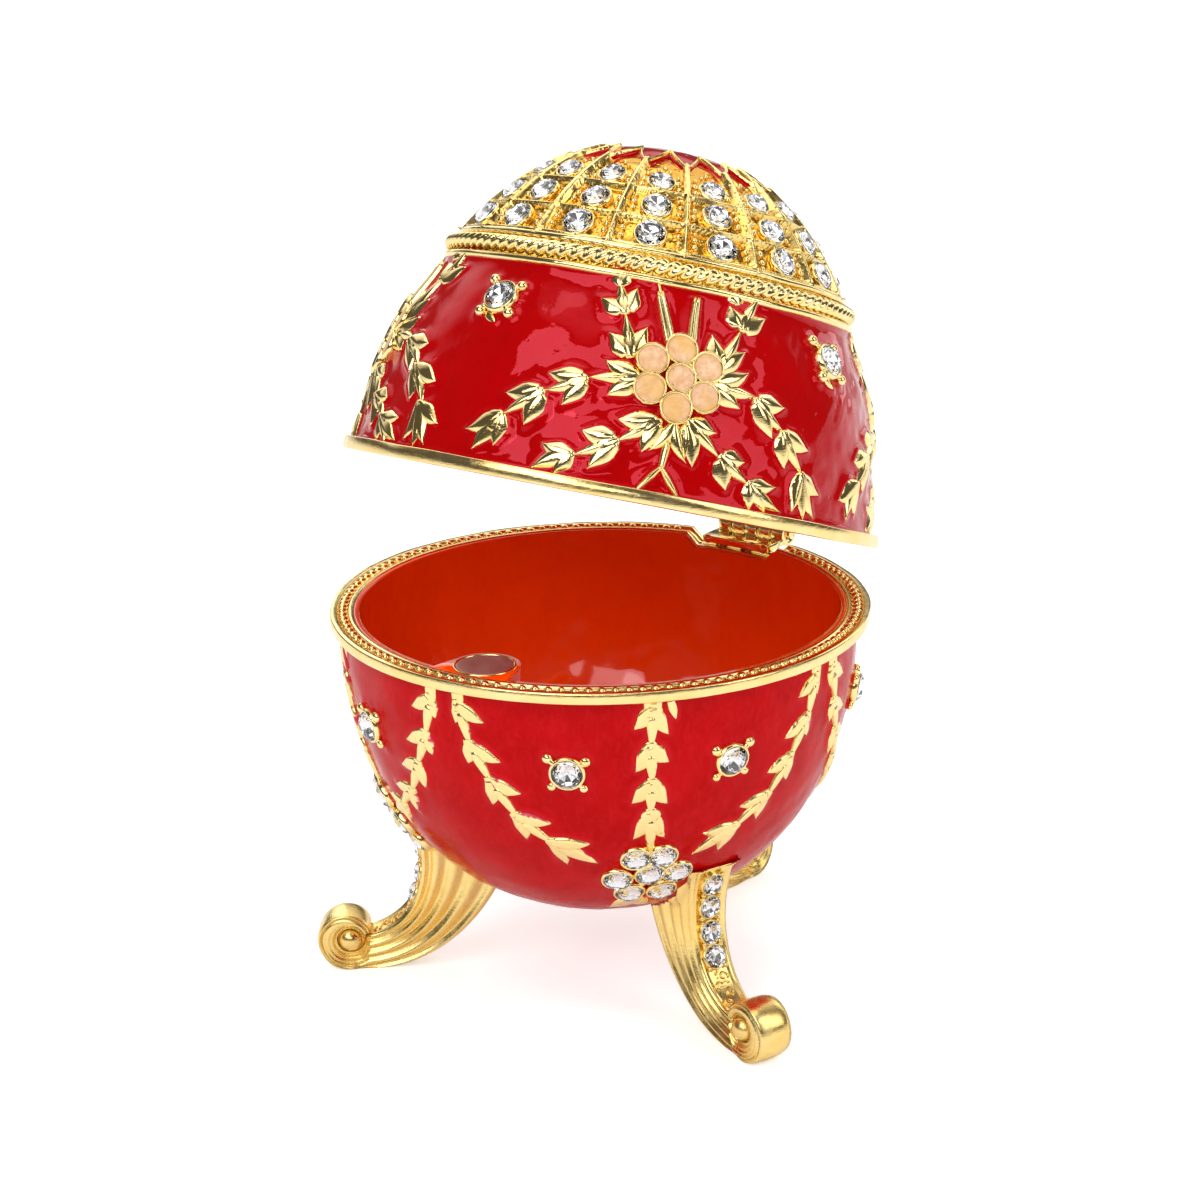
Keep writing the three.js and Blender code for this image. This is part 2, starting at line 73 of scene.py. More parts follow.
# ---------------------------------------------------------------- mesh building
class Part:
    """Collects shells of one piece, each with a material index and a float per vertex."""

    def __init__(self):
        self.v, self.f, self.mi, self.sm, self.tag, self.n = [], [], [], [], [], 0

    def add(self, verts, faces, mat=0, smooth=True, tag=0.0):
        verts = np.asarray(verts, float).reshape(-1, 3)
        faces = [tuple(int(i) + self.n for i in f) for f in faces]
        self.v.append(verts)
        self.tag.append(np.broadcast_to(np.asarray(tag, float), (len(verts),)).copy())
        self.f.extend(faces)
        self.mi.extend([mat] * len(faces))
        self.sm.extend([smooth] * len(faces))
        self.n += len(verts)

    def rings(self, P, wrap_r=False, wrap_c=True, caps=True, mat=0, smooth=True, tag=None):
        """P[row][col] of points, as quads; caps are fans."""
        P = np.asarray(P, float)
        nr, nc = P.shape[:2]
        idx = np.arange(nr * nc).reshape(nr, nc)
        rows = idx if not wrap_r else np.vstack([idx, idx[:1]])
        cols = rows if not wrap_c else np.hstack([rows, rows[:, :1]])
        a, b = cols[:-1, :-1], cols[:-1, 1:]
        c, d = cols[1:, 1:], cols[1:, :-1]
        faces = np.stack([a, b, c, d], -1).reshape(-1, 4).tolist()
        verts = P.reshape(-1, 3)
        t = np.zeros(len(verts)) if tag is None else np.asarray(tag, float).reshape(-1)
        if caps and wrap_c and not wrap_r:
            for row, flip in ((0, True), (nr - 1, False)):
                verts = np.vstack([verts, P[row].mean(0)])
                t = np.append(t, t[idx[row]].mean())
                k = len(verts) - 1
                loop = idx[row].tolist()
                for i, j in zip(loop, loop[1:] + loop[:1]):
                    faces.append((k, j, i) if flip else (k, i, j))
        self.add(verts, faces, mat, smooth, t)

    def build(self, name, body, mats, slot=None, replaces=(), recalc=True, angle=None):
        me = bpy.data.meshes.new(name)
        v = PLACE[body](np.vstack(self.v))
        me.from_pydata(v.tolist(), [], self.f)
        me.polygons.foreach_set("material_index", self.mi)
        me.polygons.foreach_set("use_smooth", self.sm)
        at = me.attributes.new("mark", "FLOAT", "POINT")
        at.data.foreach_set("value", np.concatenate(self.tag).astype(np.float32))
        me.validate(clean_customdata=False)
        if recalc:
            bm = bmesh.new()
            bm.from_mesh(me)
            bmesh.ops.recalc_face_normals(bm, faces=bm.faces)
            bm.to_mesh(me)
            bm.free()
        me.update()
        if angle is not None:
            me.set_sharp_from_angle(angle=angle * RAD)
        o = bpy.data.objects.new(name, me)
        bpy.context.scene.collection.objects.link(o)
        for m in mats:
            me.materials.append(m)
        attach(o, body)
        if replaces:
            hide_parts(*replaces)
        return o


def circle(n, r=1.0, phase=0.0):
    a = np.arange(n) * 2 * math.pi / n + phase
    return np.stack([r * np.cos(a), r * np.sin(a)], -1)


def frames(path, closed=False, up=(0, 0, 1)):
    """tangent, side and up vectors along a path"""
    path = np.asarray(path, float)
    if closed:
        t = np.roll(path, -1, 0) - np.roll(path, 1, 0)
    else:
        t = np.gradient(path, axis=0)
    t /= np.linalg.norm(t, axis=1)[:, None]
    u = np.broadcast_to(np.asarray(up, float), t.shape)
    side = np.cross(t, u)
    side /= np.maximum(np.linalg.norm(side, axis=1), 1e-9)[:, None]
    return t, side, np.cross(side, t)


def tube(part, path, r, n=8, closed=False, up=(0, 0, 1), flat=1.0, mat=0, tag=0.0):
    path = np.asarray(path, float)
    r = np.broadcast_to(np.asarray(r, float), (len(path),))
    t, s, u = frames(path, closed, up)
    c = circle(n)
    P = path[:, None] + r[:, None, None] * (c[None, :, 0, None] * s[:, None] + flat * c[None, :, 1, None] * u[:, None])
    part.rings(P, wrap_r=closed, mat=mat, tag=np.full(P.shape[:2], tag))


def ball(part, c, r, axis=(0, 0, 1), squash=1.0, nu=8, nv=5, mat=0, tag=0.0):
    """a ball or a flattened ball with a pole along axis"""
    z = np.asarray(axis, float)
    z = z / np.linalg.norm(z)
    x = np.cross(z, (0.3, 0.9, 0.2))
    x /= np.linalg.norm(x)
    y = np.cross(z, x)
    th = np.linspace(0.16, math.pi - 0.16, nv)
    cc = circle(nu)
    P = (np.asarray(c, float) + r * (np.sin(th)[:, None, None] * (cc[None, :, 0, None] * x + cc[None, :, 1, None] * y)
         + squash * np.cos(th)[:, None, None] * z))
    part.rings(P, mat=mat, tag=np.full(P.shape[:2], tag))


def turned(part, prof, c, axis, n=32, mat=0, smooth=True, closed=True):
    """a lathe of [radius, height] about axis through c"""
    z = np.asarray(axis, float)
    z = z / np.linalg.norm(z)
    x = np.cross(z, (0.3, 0.9, 0.2))
    x /= np.linalg.norm(x)
    y = np.cross(z, x)
    cc = circle(n)
    P = np.asarray(c, float) + np.array([[max(r, 1e-3) * (a * x + b * y) + h * z for a, b in cc] for r, h in prof])
    part.rings(P, wrap_r=closed, caps=not closed, mat=mat, smooth=smooth)


def waves(seed, lam_lo, lam_hi, n=22):
    """a smooth random field over space: value(points in mm), about -1..1"""
    g = np.random.default_rng(seed)
    d = g.normal(size=(n, 3))
    d /= np.linalg.norm(d, axis=1)[:, None]
    lam = g.uniform(lam_lo, lam_hi, n)
    k = d * (2 * math.pi / lam)[:, None]
    ph = g.uniform(0, 2 * math.pi, n)

    def f(p):
        p = np.asarray(p, float)
        return np.sin(p.reshape(-1, 3) @ k.T + ph).sum(1).reshape(p.shape[:-1]) / math.sqrt(n)
    return f


def sstep(x, a, b):
    q = np.clip((x - a) / (b - a), 0, 1)
    return q * q * (3 - 2 * q)


# ---------------------------------------------------------------- egg surfaces
BOWL_R, BOWL_H, BOWL_P, BOWL_Q = 23.9, 28.1, 2.147, 2.6
LID_R, LID_H, LID_P, LID_Q = 24.0, 32.4, 1.75, 2.2
WALL = 1.55
RIM_R, LIP_R = 25.0, 22.75
NOTCH_HALF, NOTCH_DEEP = 5.2, 1.25


def bowl_curve(t):
    return BOWL_R * np.maximum(0, 1 - (t / BOWL_H) ** BOWL_P) ** (1 / BOWL_Q)


def bowl_in_curve(t):
    return (BOWL_R - WALL) * np.maximum(0, 1 - (t / (BOWL_H - WALL - 0.1)) ** BOWL_P) ** (1 / BOWL_Q)


def lid_curve(t):
    waist = 0.5 * np.exp(-((t - 17.2) / 2.6) ** 2) * (1 - sstep(t, LID_H - 8, LID_H - 4))
    dome = 0.45 * np.exp(-((t - 31.3) / 1.1) ** 2)       # slightly fuller dome
    low = 0.25 * sstep(t, 1.2, 4.0)                      # the enamel lies a little under the relief
    return np.maximum(0, LID_R * np.maximum(0, 1 - (t / LID_H) ** LID_P) ** (1 / LID_Q) - waist - low + dome * (t < LID_H))


def lid_in_curve(t):
    h = LID_H - WALL - 0.1
    return np.maximum(0, (LID_R - WALL) * np.maximum(0, 1 - (t / h) ** LID_P) ** (1 / LID_Q) - 0.35 * sstep(t, 4, 8) * (1 - sstep(t, 24, 29)))


class Egg:
    """A surface of revolution by azimuth and arc length S from the rim; lift is along the outward normal."""

    def __init__(self, curve, height, sign):
        x = np.linspace(0, 1, 7000)
        t = height * (1 - (1 - x) ** 2.4)
        r = curve(t)
        r[-1] = 0
        self.S = np.concatenate([[0], np.cumsum(np.hypot(np.diff(t), np.diff(r)))])
        self.t, self.r, self.sign = t, r, sign
        self.top = self.S[-1]

    def s_of(self, t):
        return np.interp(t, self.t, self.S)

    def t_of(self, S):
        return np.interp(S, self.S, self.t)

    def radius(self, S):
        return np.interp(S, self.S, self.r)

    def normal(self, S):
        e = 0.12
        a, b = np.clip(S - e, 0, self.top), np.clip(S + e, 0, self.top)
        dr, dt = self.radius(b) - self.radius(a), self.t_of(b) - self.t_of(a)
        n = np.hypot(dr, dt)
        return dt / n, -dr / n

    def at(self, phi, S, lift=0.0):
        phi, S, lift = np.broadcast_arrays(np.asarray(phi, float), np.asarray(S, float), np.asarray(lift, float))
        nr, nt = self.normal(S)
        r = self.radius(S) + lift * nr
        z = self.sign * (self.t_of(S) + lift * nt)
        return np.stack([r * np.cos(phi), r * np.sin(phi), z], -1)

    def out(self, phi, S):
        nr, nt = self.normal(np.asarray(S, float))
        return np.stack([nr * np.cos(phi), nr * np.sin(phi), self.sign * nt * np.ones_like(np.cos(phi))], -1)


BOWL = Egg(bowl_curve, BOWL_H, -1)
BOWL_IN = Egg(bowl_in_curve, BOWL_H - WALL - 0.1, -1)
LID = Egg(lid_curve, LID_H, 1)
LID_IN = Egg(lid_in_curve, LID_H - WALL - 0.1, 1)


# ---------------------------------------------------------------- leaves, stems and other relief on an egg
class Relief:
    """Relief shells on an egg, and the outline points that the enamel climbs up to."""

    def __init__(self, egg):
        self.egg, self.part, self.edge = egg, Part(), []

    def lobe(self, base, tip, w, h, bend=0.0, kind="ridge", n=11, m=9, wb=0.35, we=0.04, peak=0.4, h_tip=0.4,
             sink=-0.35, tag=0.0, tilt=0.0, taper=1.7, lift=0.0, mat=0):
        egg = self.egg
        mid = (base[1] + tip[1]) / 2
        T = np.array([(tip[0] - base[0]) * float(egg.radius(mid)), tip[1] - base[1]])
        L = max(np.hypot(*T), 1e-3)
        nrm = np.array([T[1], -T[0]]) / L
        C = T / 2 + nrm * bend * L
        s = np.linspace(0, 1, n) ** 0.92
        spine = 2 * (s * (1 - s))[:, None] * C + (s ** 2)[:, None] * T
        tan = 2 * (1 - 2 * s)[:, None] * C + 2 * s[:, None] * T
        tan /= np.linalg.norm(tan, axis=1)[:, None]
        side = np.stack([tan[:, 1], -tan[:, 0]], -1)
        q = np.clip((s - peak) / (1 - peak), 0, 1)
        a = np.where(s < peak, wb + (1 - wb) * np.sin(math.pi / 2 * np.clip(s / peak, 0, 1)), 1 - (1 - we) * q ** taper)
        H = h * (1 - (1 - h_tip) * s ** 2.2)
        v = np.sin(np.linspace(-math.pi / 2, math.pi / 2, m))
        if kind == "ridge":
            prof = (1 - np.abs(v)) ** 0.5 * 0.85 + 0.15 * np.sqrt(np.maximum(0, 1 - v ** 2))
        elif kind == "groove":
            prof = np.sqrt(np.maximum(0, 1 - np.abs(v) ** 3)) * (0.62 + 0.38 * np.minimum(1, np.abs(v) / 0.5))
        elif kind == "flat":
            prof = np.maximum(0, 1 - np.abs(v) ** 7) ** 0.5
        else:
            prof = np.sqrt(np.maximum(0, 1 - v ** 2))
        x = spine[:, 0][:, None] + side[:, 0][:, None] * (a * w)[:, None] * v
        y = spine[:, 1][:, None] + side[:, 1][:, None] * (a * w)[:, None] * v
        z = H[:, None] * prof + tilt * v[None] * (prof > 0.3) + lift
        xb = np.stack([spine[:, 0] + side[:, 0] * a * w * k for k in (0.96, -0.96)], 1)
        yb = np.stack([spine[:, 1] + side[:, 1] * a * w * k for k in (0.96, -0.96)], 1)
        X, Y = np.hstack([x, xb]), np.hstack([y, yb])
        Z = np.hstack([z, np.full((n, 2), sink)])
        S = base[1] + Y
        phi = base[0] + X / np.maximum(egg.radius(S), 2.0)
        V = np.broadcast_to(np.concatenate([v, [1, -1]]), Z.shape)
        self.part.rings(egg.at(phi, S, Z), tag=V * 1.0 + tag, mat=mat)
        loop_p = np.concatenate([phi[:, 0], phi[::-1, m - 1], phi[:1, 0]])
        loop_s = np.concatenate([S[:, 0], S[::-1, m - 1], S[:1, 0]])
        step = np.hypot(np.diff(loop_p) * egg.radius(loop_s[1:]), np.diff(loop_s))
        x = np.concatenate([[0], np.cumsum(np.maximum(step, 1e-4))])
        xs = np.arange(0, x[-1], 0.11)
        self.edge.append(egg.at(np.interp(xs, x, loop_p), np.interp(xs, x, loop_s)))

    def ring_edge(self, phi, S, r, n=20):
        c = circle(n, r)
        SS = S + c[:, 1]
        self.edge.append(self.egg.at(phi + c[:, 0] / self.egg.radius(SS), SS))


def rel(egg, unit, sgn=1):
    """(offset in degrees, height t) of a pattern unit -> (azimuth, arc length)"""
    def f(d, t):
        return unit * RAD + sgn * d * RAD, float(egg.s_of(t))
    return f


# ---------------------------------------------------------------- stones
def stone(part, c, n, R, rng, depth=0.72, mat=0, foil=None, foil_mat=0):
    """A round brilliant: table, crown facets, girdle, and a pavilion over a facetted foil."""
    n = np.asarray(n, float)
    n = n / np.linalg.norm(n)
    x = np.cross(n, (0.2, 0.35, 0.9))
    x /= np.linalg.norm(x)
    y = np.cross(n, x)
    spin = rng.uniform(0, math.pi / 4)
    wob = rng.normal(scale=0.05, size=2)
    n2 = n + wob[0] * x + wob[1] * y
    n2 /= np.linalg.norm(n2)
    x = np.cross(n2, y); x /= np.linalg.norm(x); y = np.cross(n2, x)
    c = np.asarray(c, float)

    def ring(k, r, h, ph=0.0):
        a = np.arange(k) * 2 * math.pi / k + ph + spin
        return c + R * r * (np.cos(a)[:, None] * x + np.sin(a)[:, None] * y) + R * h * n2
    table = ring(8, 0.56, 0.36)
    mid = ring(8, 0.80, 0.235, math.pi / 8)
    g1 = ring(16, 1.0, 0.03)
    g2 = ring(16, 1.0, -0.03)
    low = ring(8, 0.55, -0.62 * depth, math.pi / 8)
    tip = (c - R * depth * n2)[None]
    V = np.vstack([table, mid, g1, g2, low, tip])
    F = [tuple(range(8))]
    T, M, G, H, Lw, P = 0, 8, 16, 32, 48, 56
    for i in range(8):
        j = (i + 1) % 8
        F.append((T + i, M + i, T + j))                                     # star
        F.append((T + i, M + (i - 1) % 8, G + 2 * i, M + i))                 # kite
        F.append((M + i, G + 2 * i, G + 2 * i + 1))
        F.append((M + i, G + 2 * i + 1, G + (2 * i + 2) % 16))
        F.append((H + 2 * i, Lw + i, H + 2 * i + 1))
        F.append((H + 2 * i + 1, Lw + i, H + (2 * i + 2) % 16))
        F.append((H + 2 * i, Lw + (i - 1) % 8, Lw + i))
        F.append((Lw + i, P, Lw + j))
    for i in range(16):
        j = (i + 1) % 16
        F.append((G + i, H + i, H + j, G + j))
    part.add(V, F, mat=mat, smooth=False)
    if foil is not None:
        # mirror-backed cup just under the pavilion
        up = ring(16, 1.0, -0.06)
        lw = ring(8, 0.58, -0.62 * depth - 0.05, math.pi / 8)
        tp = (c - R * (depth + 0.07) * n2)[None]
        un = ring(16, 1.0, -0.9)
        bt = (c - R * 0.95 * n2)[None]
        V = np.vstack([up, lw, tp, un, bt])
        F = []
        for i in range(8):
            j = (i + 1) % 8
            F += [(2 * i, 16 + i, 2 * i + 1), (2 * i + 1, 16 + i, (2 * i + 2) % 16), (2 * i, 16 + (i - 1) % 8, 16 + i), (16 + i, 24, 16 + j)]
        for i in range(16):
            j = (i + 1) % 16
            F += [(i, j, 25 + j, 25 + i), (25 + i, 25 + j, 41)]
        foil.add(V, F, mat=foil_mat, smooth=False)


# ---------------------------------------------------------------- materials
def material(name):
    m = bpy.data.materials.new(name)
    m.use_nodes = True
    nt = m.node_tree
    b = nt.nodes["Principled BSDF"]
    return m, nt, b


def node(nt, kind, **kw):
    n = nt.nodes.new(kind)
    for k, v in kw.items():
        if k in n.inputs:
            n.inputs[k].default_value = v
        else:
            setattr(n, k, v)
    return n


def noise(nt, scale, detail=2.0, rough=0.5, distort=0.0, stretch=None):
    tc = node(nt, "ShaderNodeTexCoord")
    src = tc.outputs["Object"]
    if stretch:
        mp = node(nt, "ShaderNodeMapping")
        mp.inputs["Scale"].default_value = stretch
        nt.links.new(src, mp.inputs["Vector"])
        src = mp.outputs["Vector"]
    t = node(nt, "ShaderNodeTexNoise", Scale=scale, Detail=detail, Roughness=rough, Distortion=distort)
    nt.links.new(src, t.inputs["Vector"])
    return t.outputs["Fac"]


def ramp(nt, fac, stops):
    r = node(nt, "ShaderNodeValToRGB")
    el = r.color_ramp.elements
    while len(el) < len(stops):
        el.new(0.5)
    for e, (p, c) in zip(el, stops):
        e.position = p
        e.color = (*c, 1) if len(c) == 3 else c
    nt.links.new(fac, r.inputs["Fac"])
    return r.outputs["Color"]


def mix(nt, fac, a, b):
    m = node(nt, "ShaderNodeMix", data_type="RGBA")
    for sock, val in ((m.inputs["Factor"], fac), (m.inputs[6], a), (m.inputs[7], b)):
        if hasattr(val, "links") or hasattr(val, "is_linked"):
            nt.links.new(val, sock)
        else:
            sock.default_value = (*val, 1) if isinstance(val, (tuple, list)) else val
    return m.outputs[2]


def rng_map(nt, fac, a, b, c, d):
    m = node(nt, "ShaderNodeMapRange")
    for i, v in enumerate((a, b, c, d)):
        m.inputs[1 + i].default_value = v
    nt.links.new(fac, m.inputs[0])
    return m.outputs[0]


def math_node(nt, op, a, b=None):
    m = node(nt, "ShaderNodeMath", operation=op)
    for sock, val in zip(m.inputs, (a, b)):
        if val is None:
            continue
        if hasattr(val, "is_linked"):
            nt.links.new(val, sock)
        else:
            sock.default_value = val
    return m.outputs[0]


def bump(nt, b, height, dist_mm, strength=1.0, chain=None):
    n = node(nt, "ShaderNodeBump", Strength=strength, Distance=dist_mm * 1e-3)
    nt.links.new(height, n.inputs["Height"])
    if chain is not None:
        nt.links.new(chain, n.inputs["Normal"])
    nt.links.new(n.outputs["Normal"], b.inputs["Normal"])
    return n.outputs["Normal"]


def gold(name, light, deep, rough_lo, rough_hi, scratch=0.004, wobble=0.02, wob_scale=500, pit=0.0, recess_shade=None, lap=None):
    m, nt, b = material(name)
    b.inputs["Metallic"].default_value = 1.0
    big = noise(nt, 260, 3, 0.55)
    col = mix(nt, rng_map(nt, big, 0.35, 0.65, 0, 1), light, deep)
    rn = noise(nt, 700, 4, 0.6)
    rough = rng_map(nt, rn, 0.35, 0.7, rough_lo, rough_hi)
    if recess_shade or lap:
        mark = node(nt, "ShaderNodeAttribute", attribute_name="mark").outputs["Fac"]
    # painted shade: low places (small mark) are tinted toward a deeper amber, as if shaded in a recess
    if recess_shade:
        col = mix(nt, rng_map(nt, mark, 0.0, 1.0, 1, 0), col, recess_shade)
    if lap:
        ragged = math_node(nt, "ADD", mark, rng_map(nt, noise(nt, 520, 4, 0.65), 0.3, 0.7, -0.45, 0.45))
        mask = rng_map(nt, ragged, 0.95, 1.08, 0, 1)
        col = mix(nt, mask, col, mix(nt, rng_map(nt, noise(nt, 900, 2), 0.4, 0.6, 0, 1), lap, (0.46, 0.03, 0.06)))
        nt.links.new(rng_map(nt, mask, 0, 1, 1.0, 0.0), b.inputs["Metallic"])
        rough = math_node(nt, "MULTIPLY", rough, rng_map(nt, mask, 0, 1, 1.0, 0.5))
    nt.links.new(col, b.inputs["Base Color"])
    nt.links.new(rough, b.inputs["Roughness"])
    c = bump(nt, b, noise(nt, wob_scale, 2, 0.5), wobble)
    if scratch:
        c = bump(nt, b, noise(nt, 900, 3, 0.7, 0.6, (1, 1, 5)), scratch * 3, 1.0, c)
    if pit:
        vo = node(nt, "ShaderNodeTexVoronoi", Scale=1900)
        tc = node(nt, "ShaderNodeTexCoord")
        nt.links.new(tc.outputs["Object"], vo.inputs["Vector"])
        c = bump(nt, b, rng_map(nt, vo.outputs["Distance"], 0.0, 0.35, 0, 1), pit, 1.0, c)
    return m


GOLD_BRIGHT = gold("gold_bright", (1.0, 0.82, 0.40), (1.0, 0.76, 0.31), 0.06, 0.15, wobble=0.03, wob_scale=650)
GOLD_SATIN = gold("gold_satin", (1.0, 0.76, 0.30), (0.97, 0.69, 0.22), 0.2, 0.36, wobble=0.02, wob_scale=900, lap=(0.36, 0.002, 0.006))
GOLD_RIM = gold("gold_rim", (1.0, 0.79, 0.37), (0.98, 0.71, 0.27), 0.14, 0.28, scratch=0.006, wobble=0.03, wob_scale=420)
# crown cells: painted shade, the cell floors are coloured a deeper amber than the ridges
GOLD_CELL = gold("gold_cell", (1.0, 0.78, 0.33), (0.98, 0.70, 0.22), 0.12, 0.28, wobble=0.05, wob_scale=1300, pit=0.03, recess_shade=(0.90, 0.48, 0.06))


def flat_gold(name):
    """bowl leaves: dull flat gold, fine scribed lines, and pink enamel lapping one edge"""
    m, nt, b = material(name)
    at = node(nt, "ShaderNodeAttribute", attribute_name="mark")
    n1 = noise(nt, 420, 3, 0.6)
    edge = math_node(nt, "ADD", at.outputs["Fac"], rng_map(nt, n1, 0.3, 0.7, -0.75, 0.75))
    mask = rng_map(nt, edge, 0.95, 1.15, 0, 1)
    gcol = mix(nt, noise(nt, 300, 2), (1.0, 0.80, 0.38), (1.0, 0.74, 0.30))
    nt.links.new(mix(nt, mask, gcol, (0.56, 0.025, 0.07)), b.inputs["Base Color"])
    nt.links.new(rng_map(nt, mask, 0, 1, 1.0, 0.0), b.inputs["Metallic"])
    nt.links.new(rng_map(nt, noise(nt, 800, 3), 0.3, 0.7, 0.16, 0.32), b.inputs["Roughness"])
    c = bump(nt, b, noise(nt, 500, 3, 0.6), 0.03)
    w = node(nt, "ShaderNodeTexWave", Scale=260, Distortion=6.0, Detail=2.0)
    w.inputs["Detail Scale"].default_value = 1.4
    tc = node(nt, "ShaderNodeTexCoord")
    nt.links.new(tc.outputs["Object"], w.inputs["Vector"])
    bump(nt, b, rng_map(nt, w.outputs["Fac"], 0.0, 0.12, 0, 1), 0.02, 1.0, c)
    return m


GOLD_LEAF = flat_gold("gold_leaf")


def enamel(name, thick, thin, mottle, rough, pit_mm, level, tint, coat, streak=0.0, wob=0.02, orange=0.0):
    """glassy enamel: thick colour, lighter where it is thin over the gold ("mark"), pits, waves and orange peel"""
    m, nt, b = material(name)
    b.inputs["IOR"].default_value = 1.5
    b.inputs["Specular IOR Level"].default_value = level
    b.inputs["Specular Tint"].default_value = (*tint, 1)
    b.inputs["Coat Weight"].default_value = coat
    b.inputs["Coat Roughness"].default_value = 0.03
    at = node(nt, "ShaderNodeAttribute", attribute_name="mark")
    n1 = rng_map(nt, noise(nt, 240, 4, 0.6, 0.4), 0.38, 0.66, 0, 1)
    n2 = rng_map(nt, noise(nt, 1500, 3, 0.65, 0.8, (1, 1, 0.45)), 0.45, 0.72, 0, 1)
    c1 = mix(nt, n1, thick, mottle)
    c2 = mix(nt, math_node(nt, "MULTIPLY", n2, 0.45), c1, thin)
    nt.links.new(mix(nt, rng_map(nt, at.outputs["Fac"], 0.0, 1.0, 0, 1), c2, thin), b.inputs["Base Color"])
    nt.links.new(rng_map(nt, noise(nt, 500, 3), 0.35, 0.7, rough * 0.7, rough * 1.4), b.inputs["Roughness"])
    c = bump(nt, b, noise(nt, 330, 2, 0.5), wob)
    if orange:
        c = bump(nt, b, noise(nt, 1500, 2, 0.5), orange, 1.0, c)
    vo = node(nt, "ShaderNodeTexVoronoi", Scale=520)
    vo.inputs["Randomness"].default_value = 1.0
    tc = node(nt, "ShaderNodeTexCoord")
    nt.links.new(tc.outputs["Object"], vo.inputs["Vector"])
    c = bump(nt, b, rng_map(nt, vo.outputs["Distance"], 0.0, 0.13, 0, 1), pit_mm, 1.0, c)
    if streak:
        bump(nt, b, noise(nt, 1100, 3, 0.6, 0.2, (1, 1, 0.25)), streak, 1.0, c)
    return m


RED_LID = enamel("red_enamel_lid", (0.36, 0.0003, 0.0006), (0.40, 0.001, 0.002), (0.40, 0.0004, 0.0008), 0.045, 0.03, 1.0, (1, 0.15, 0.22), 0.02, wob=0.05, orange=0.010)
RED_BOWL = enamel("red_enamel_bowl", (0.42, 0.0010, 0.0014), (0.56, 0.010, 0.016), (0.50, 0.0022, 0.0032), 0.15, 0.02, 0.055, (1, 0.8, 0.9), 0.03, streak=0.02, wob=0.04)
LACQUER = enamel("inner_lacquer", (0.90, 0.056, 0.0005), (0.93, 0.070, 0.001), (0.93, 0.064, 0.0008), 0.10, 0.01, 0.5, (1, 0.8, 0.8), 0.3, wob=0.03)


def peach():
    m, nt, b = material("peach_enamel")
    n1 = rng_map(nt, noise(nt, 1300, 5, 0.75), 0.40, 0.62, 0, 1)
    n2 = rng_map(nt, noise(nt, 330, 3), 0.44, 0.60, 0, 1)
    c = mix(nt, n1, (0.64, 0.33, 0.16), (0.76, 0.50, 0.30))
    nt.links.new(mix(nt, math_node(nt, "MULTIPLY", n2, 0.6), c, (0.72, 0.40, 0.08)), b.inputs["Base Color"])
    b.inputs["Roughness"].default_value = 0.42
    bump(nt, b, noise(nt, 1600, 3), 0.03)
    return m


def pink():
    m, nt, b = material("pink_enamel")
    n1 = rng_map(nt, noise(nt, 700, 3, 0.6), 0.35, 0.65, 0, 1)
    nt.links.new(mix(nt, n1, (0.42, 0.01, 0.03), (0.55, 0.07, 0.13)), b.inputs["Base Color"])
    b.inputs["Roughness"].default_value = 0.15
    bump(nt, b, noise(nt, 600, 3), 0.05)
    return m


def nickel_mat():
    m, nt, b = material("nickel_plate")
    b.inputs["Metallic"].default_value = 1.0
    n1 = noise(nt, 300, 3, 0.6)
    nt.links.new(mix(nt, n1, (0.62, 0.46, 0.43), (0.5, 0.37, 0.35)), b.inputs["Base Color"])
    nt.links.new(rng_map(nt, noise(nt, 900, 3), 0.3, 0.7, 0.4, 0.6), b.inputs["Roughness"])
    bump(nt, b, noise(nt, 1500, 3, 0.7, 0.0, (1, 6, 1)), 0.01)
    return m


def crystal_mat():
    m, nt, b = material("crystal_clear")
    b.inputs["Base Color"].default_value = (1, 1, 1, 1)
    b.inputs["Transmission Weight"].default_value = 1.0
    b.inputs["IOR"].default_value = 1.56
    b.inputs["Roughness"].default_value = 0.0
    return m


def foil_mat():
    m, nt, b = material("mirror_foil")
    b.inputs["Metallic"].default_value = 1.0
    n1 = noise(nt, 1500, 2, 0.6)
    nt.links.new(mix(nt, n1, (0.92, 0.92, 0.94), (0.80, 0.79, 0.82)), b.inputs["Base Color"])
    b.inputs["Roughness"].default_value = 0.06
    bump(nt, b, noise(nt, 1100, 2), 0.02)
    return m


PEACH, PINK, NICKEL, CRYSTAL, FOIL = peach(), pink(), nickel_mat(), crystal_mat(), foil_mat()

# ================================================================ BOWL
rng = np.random.default_rng(11)
UNITS_BOWL = [-43.6 + 90 * k for k in range(4)]
UNITS_LID = [-45.6 + 90 * k for k in range(4)]
LEG_AZ = {"back": 90, "front_right": -21, "front_left": -144}

BR = Relief(BOWL)
cup_part, bowl_stones, bowl_foil = Part(), Part(), Part()


def chart(egg, a, b):
    return np.array([(b[0] - a[0]) * float(egg.radius((a[1] + b[1]) / 2)), b[1] - a[1]])


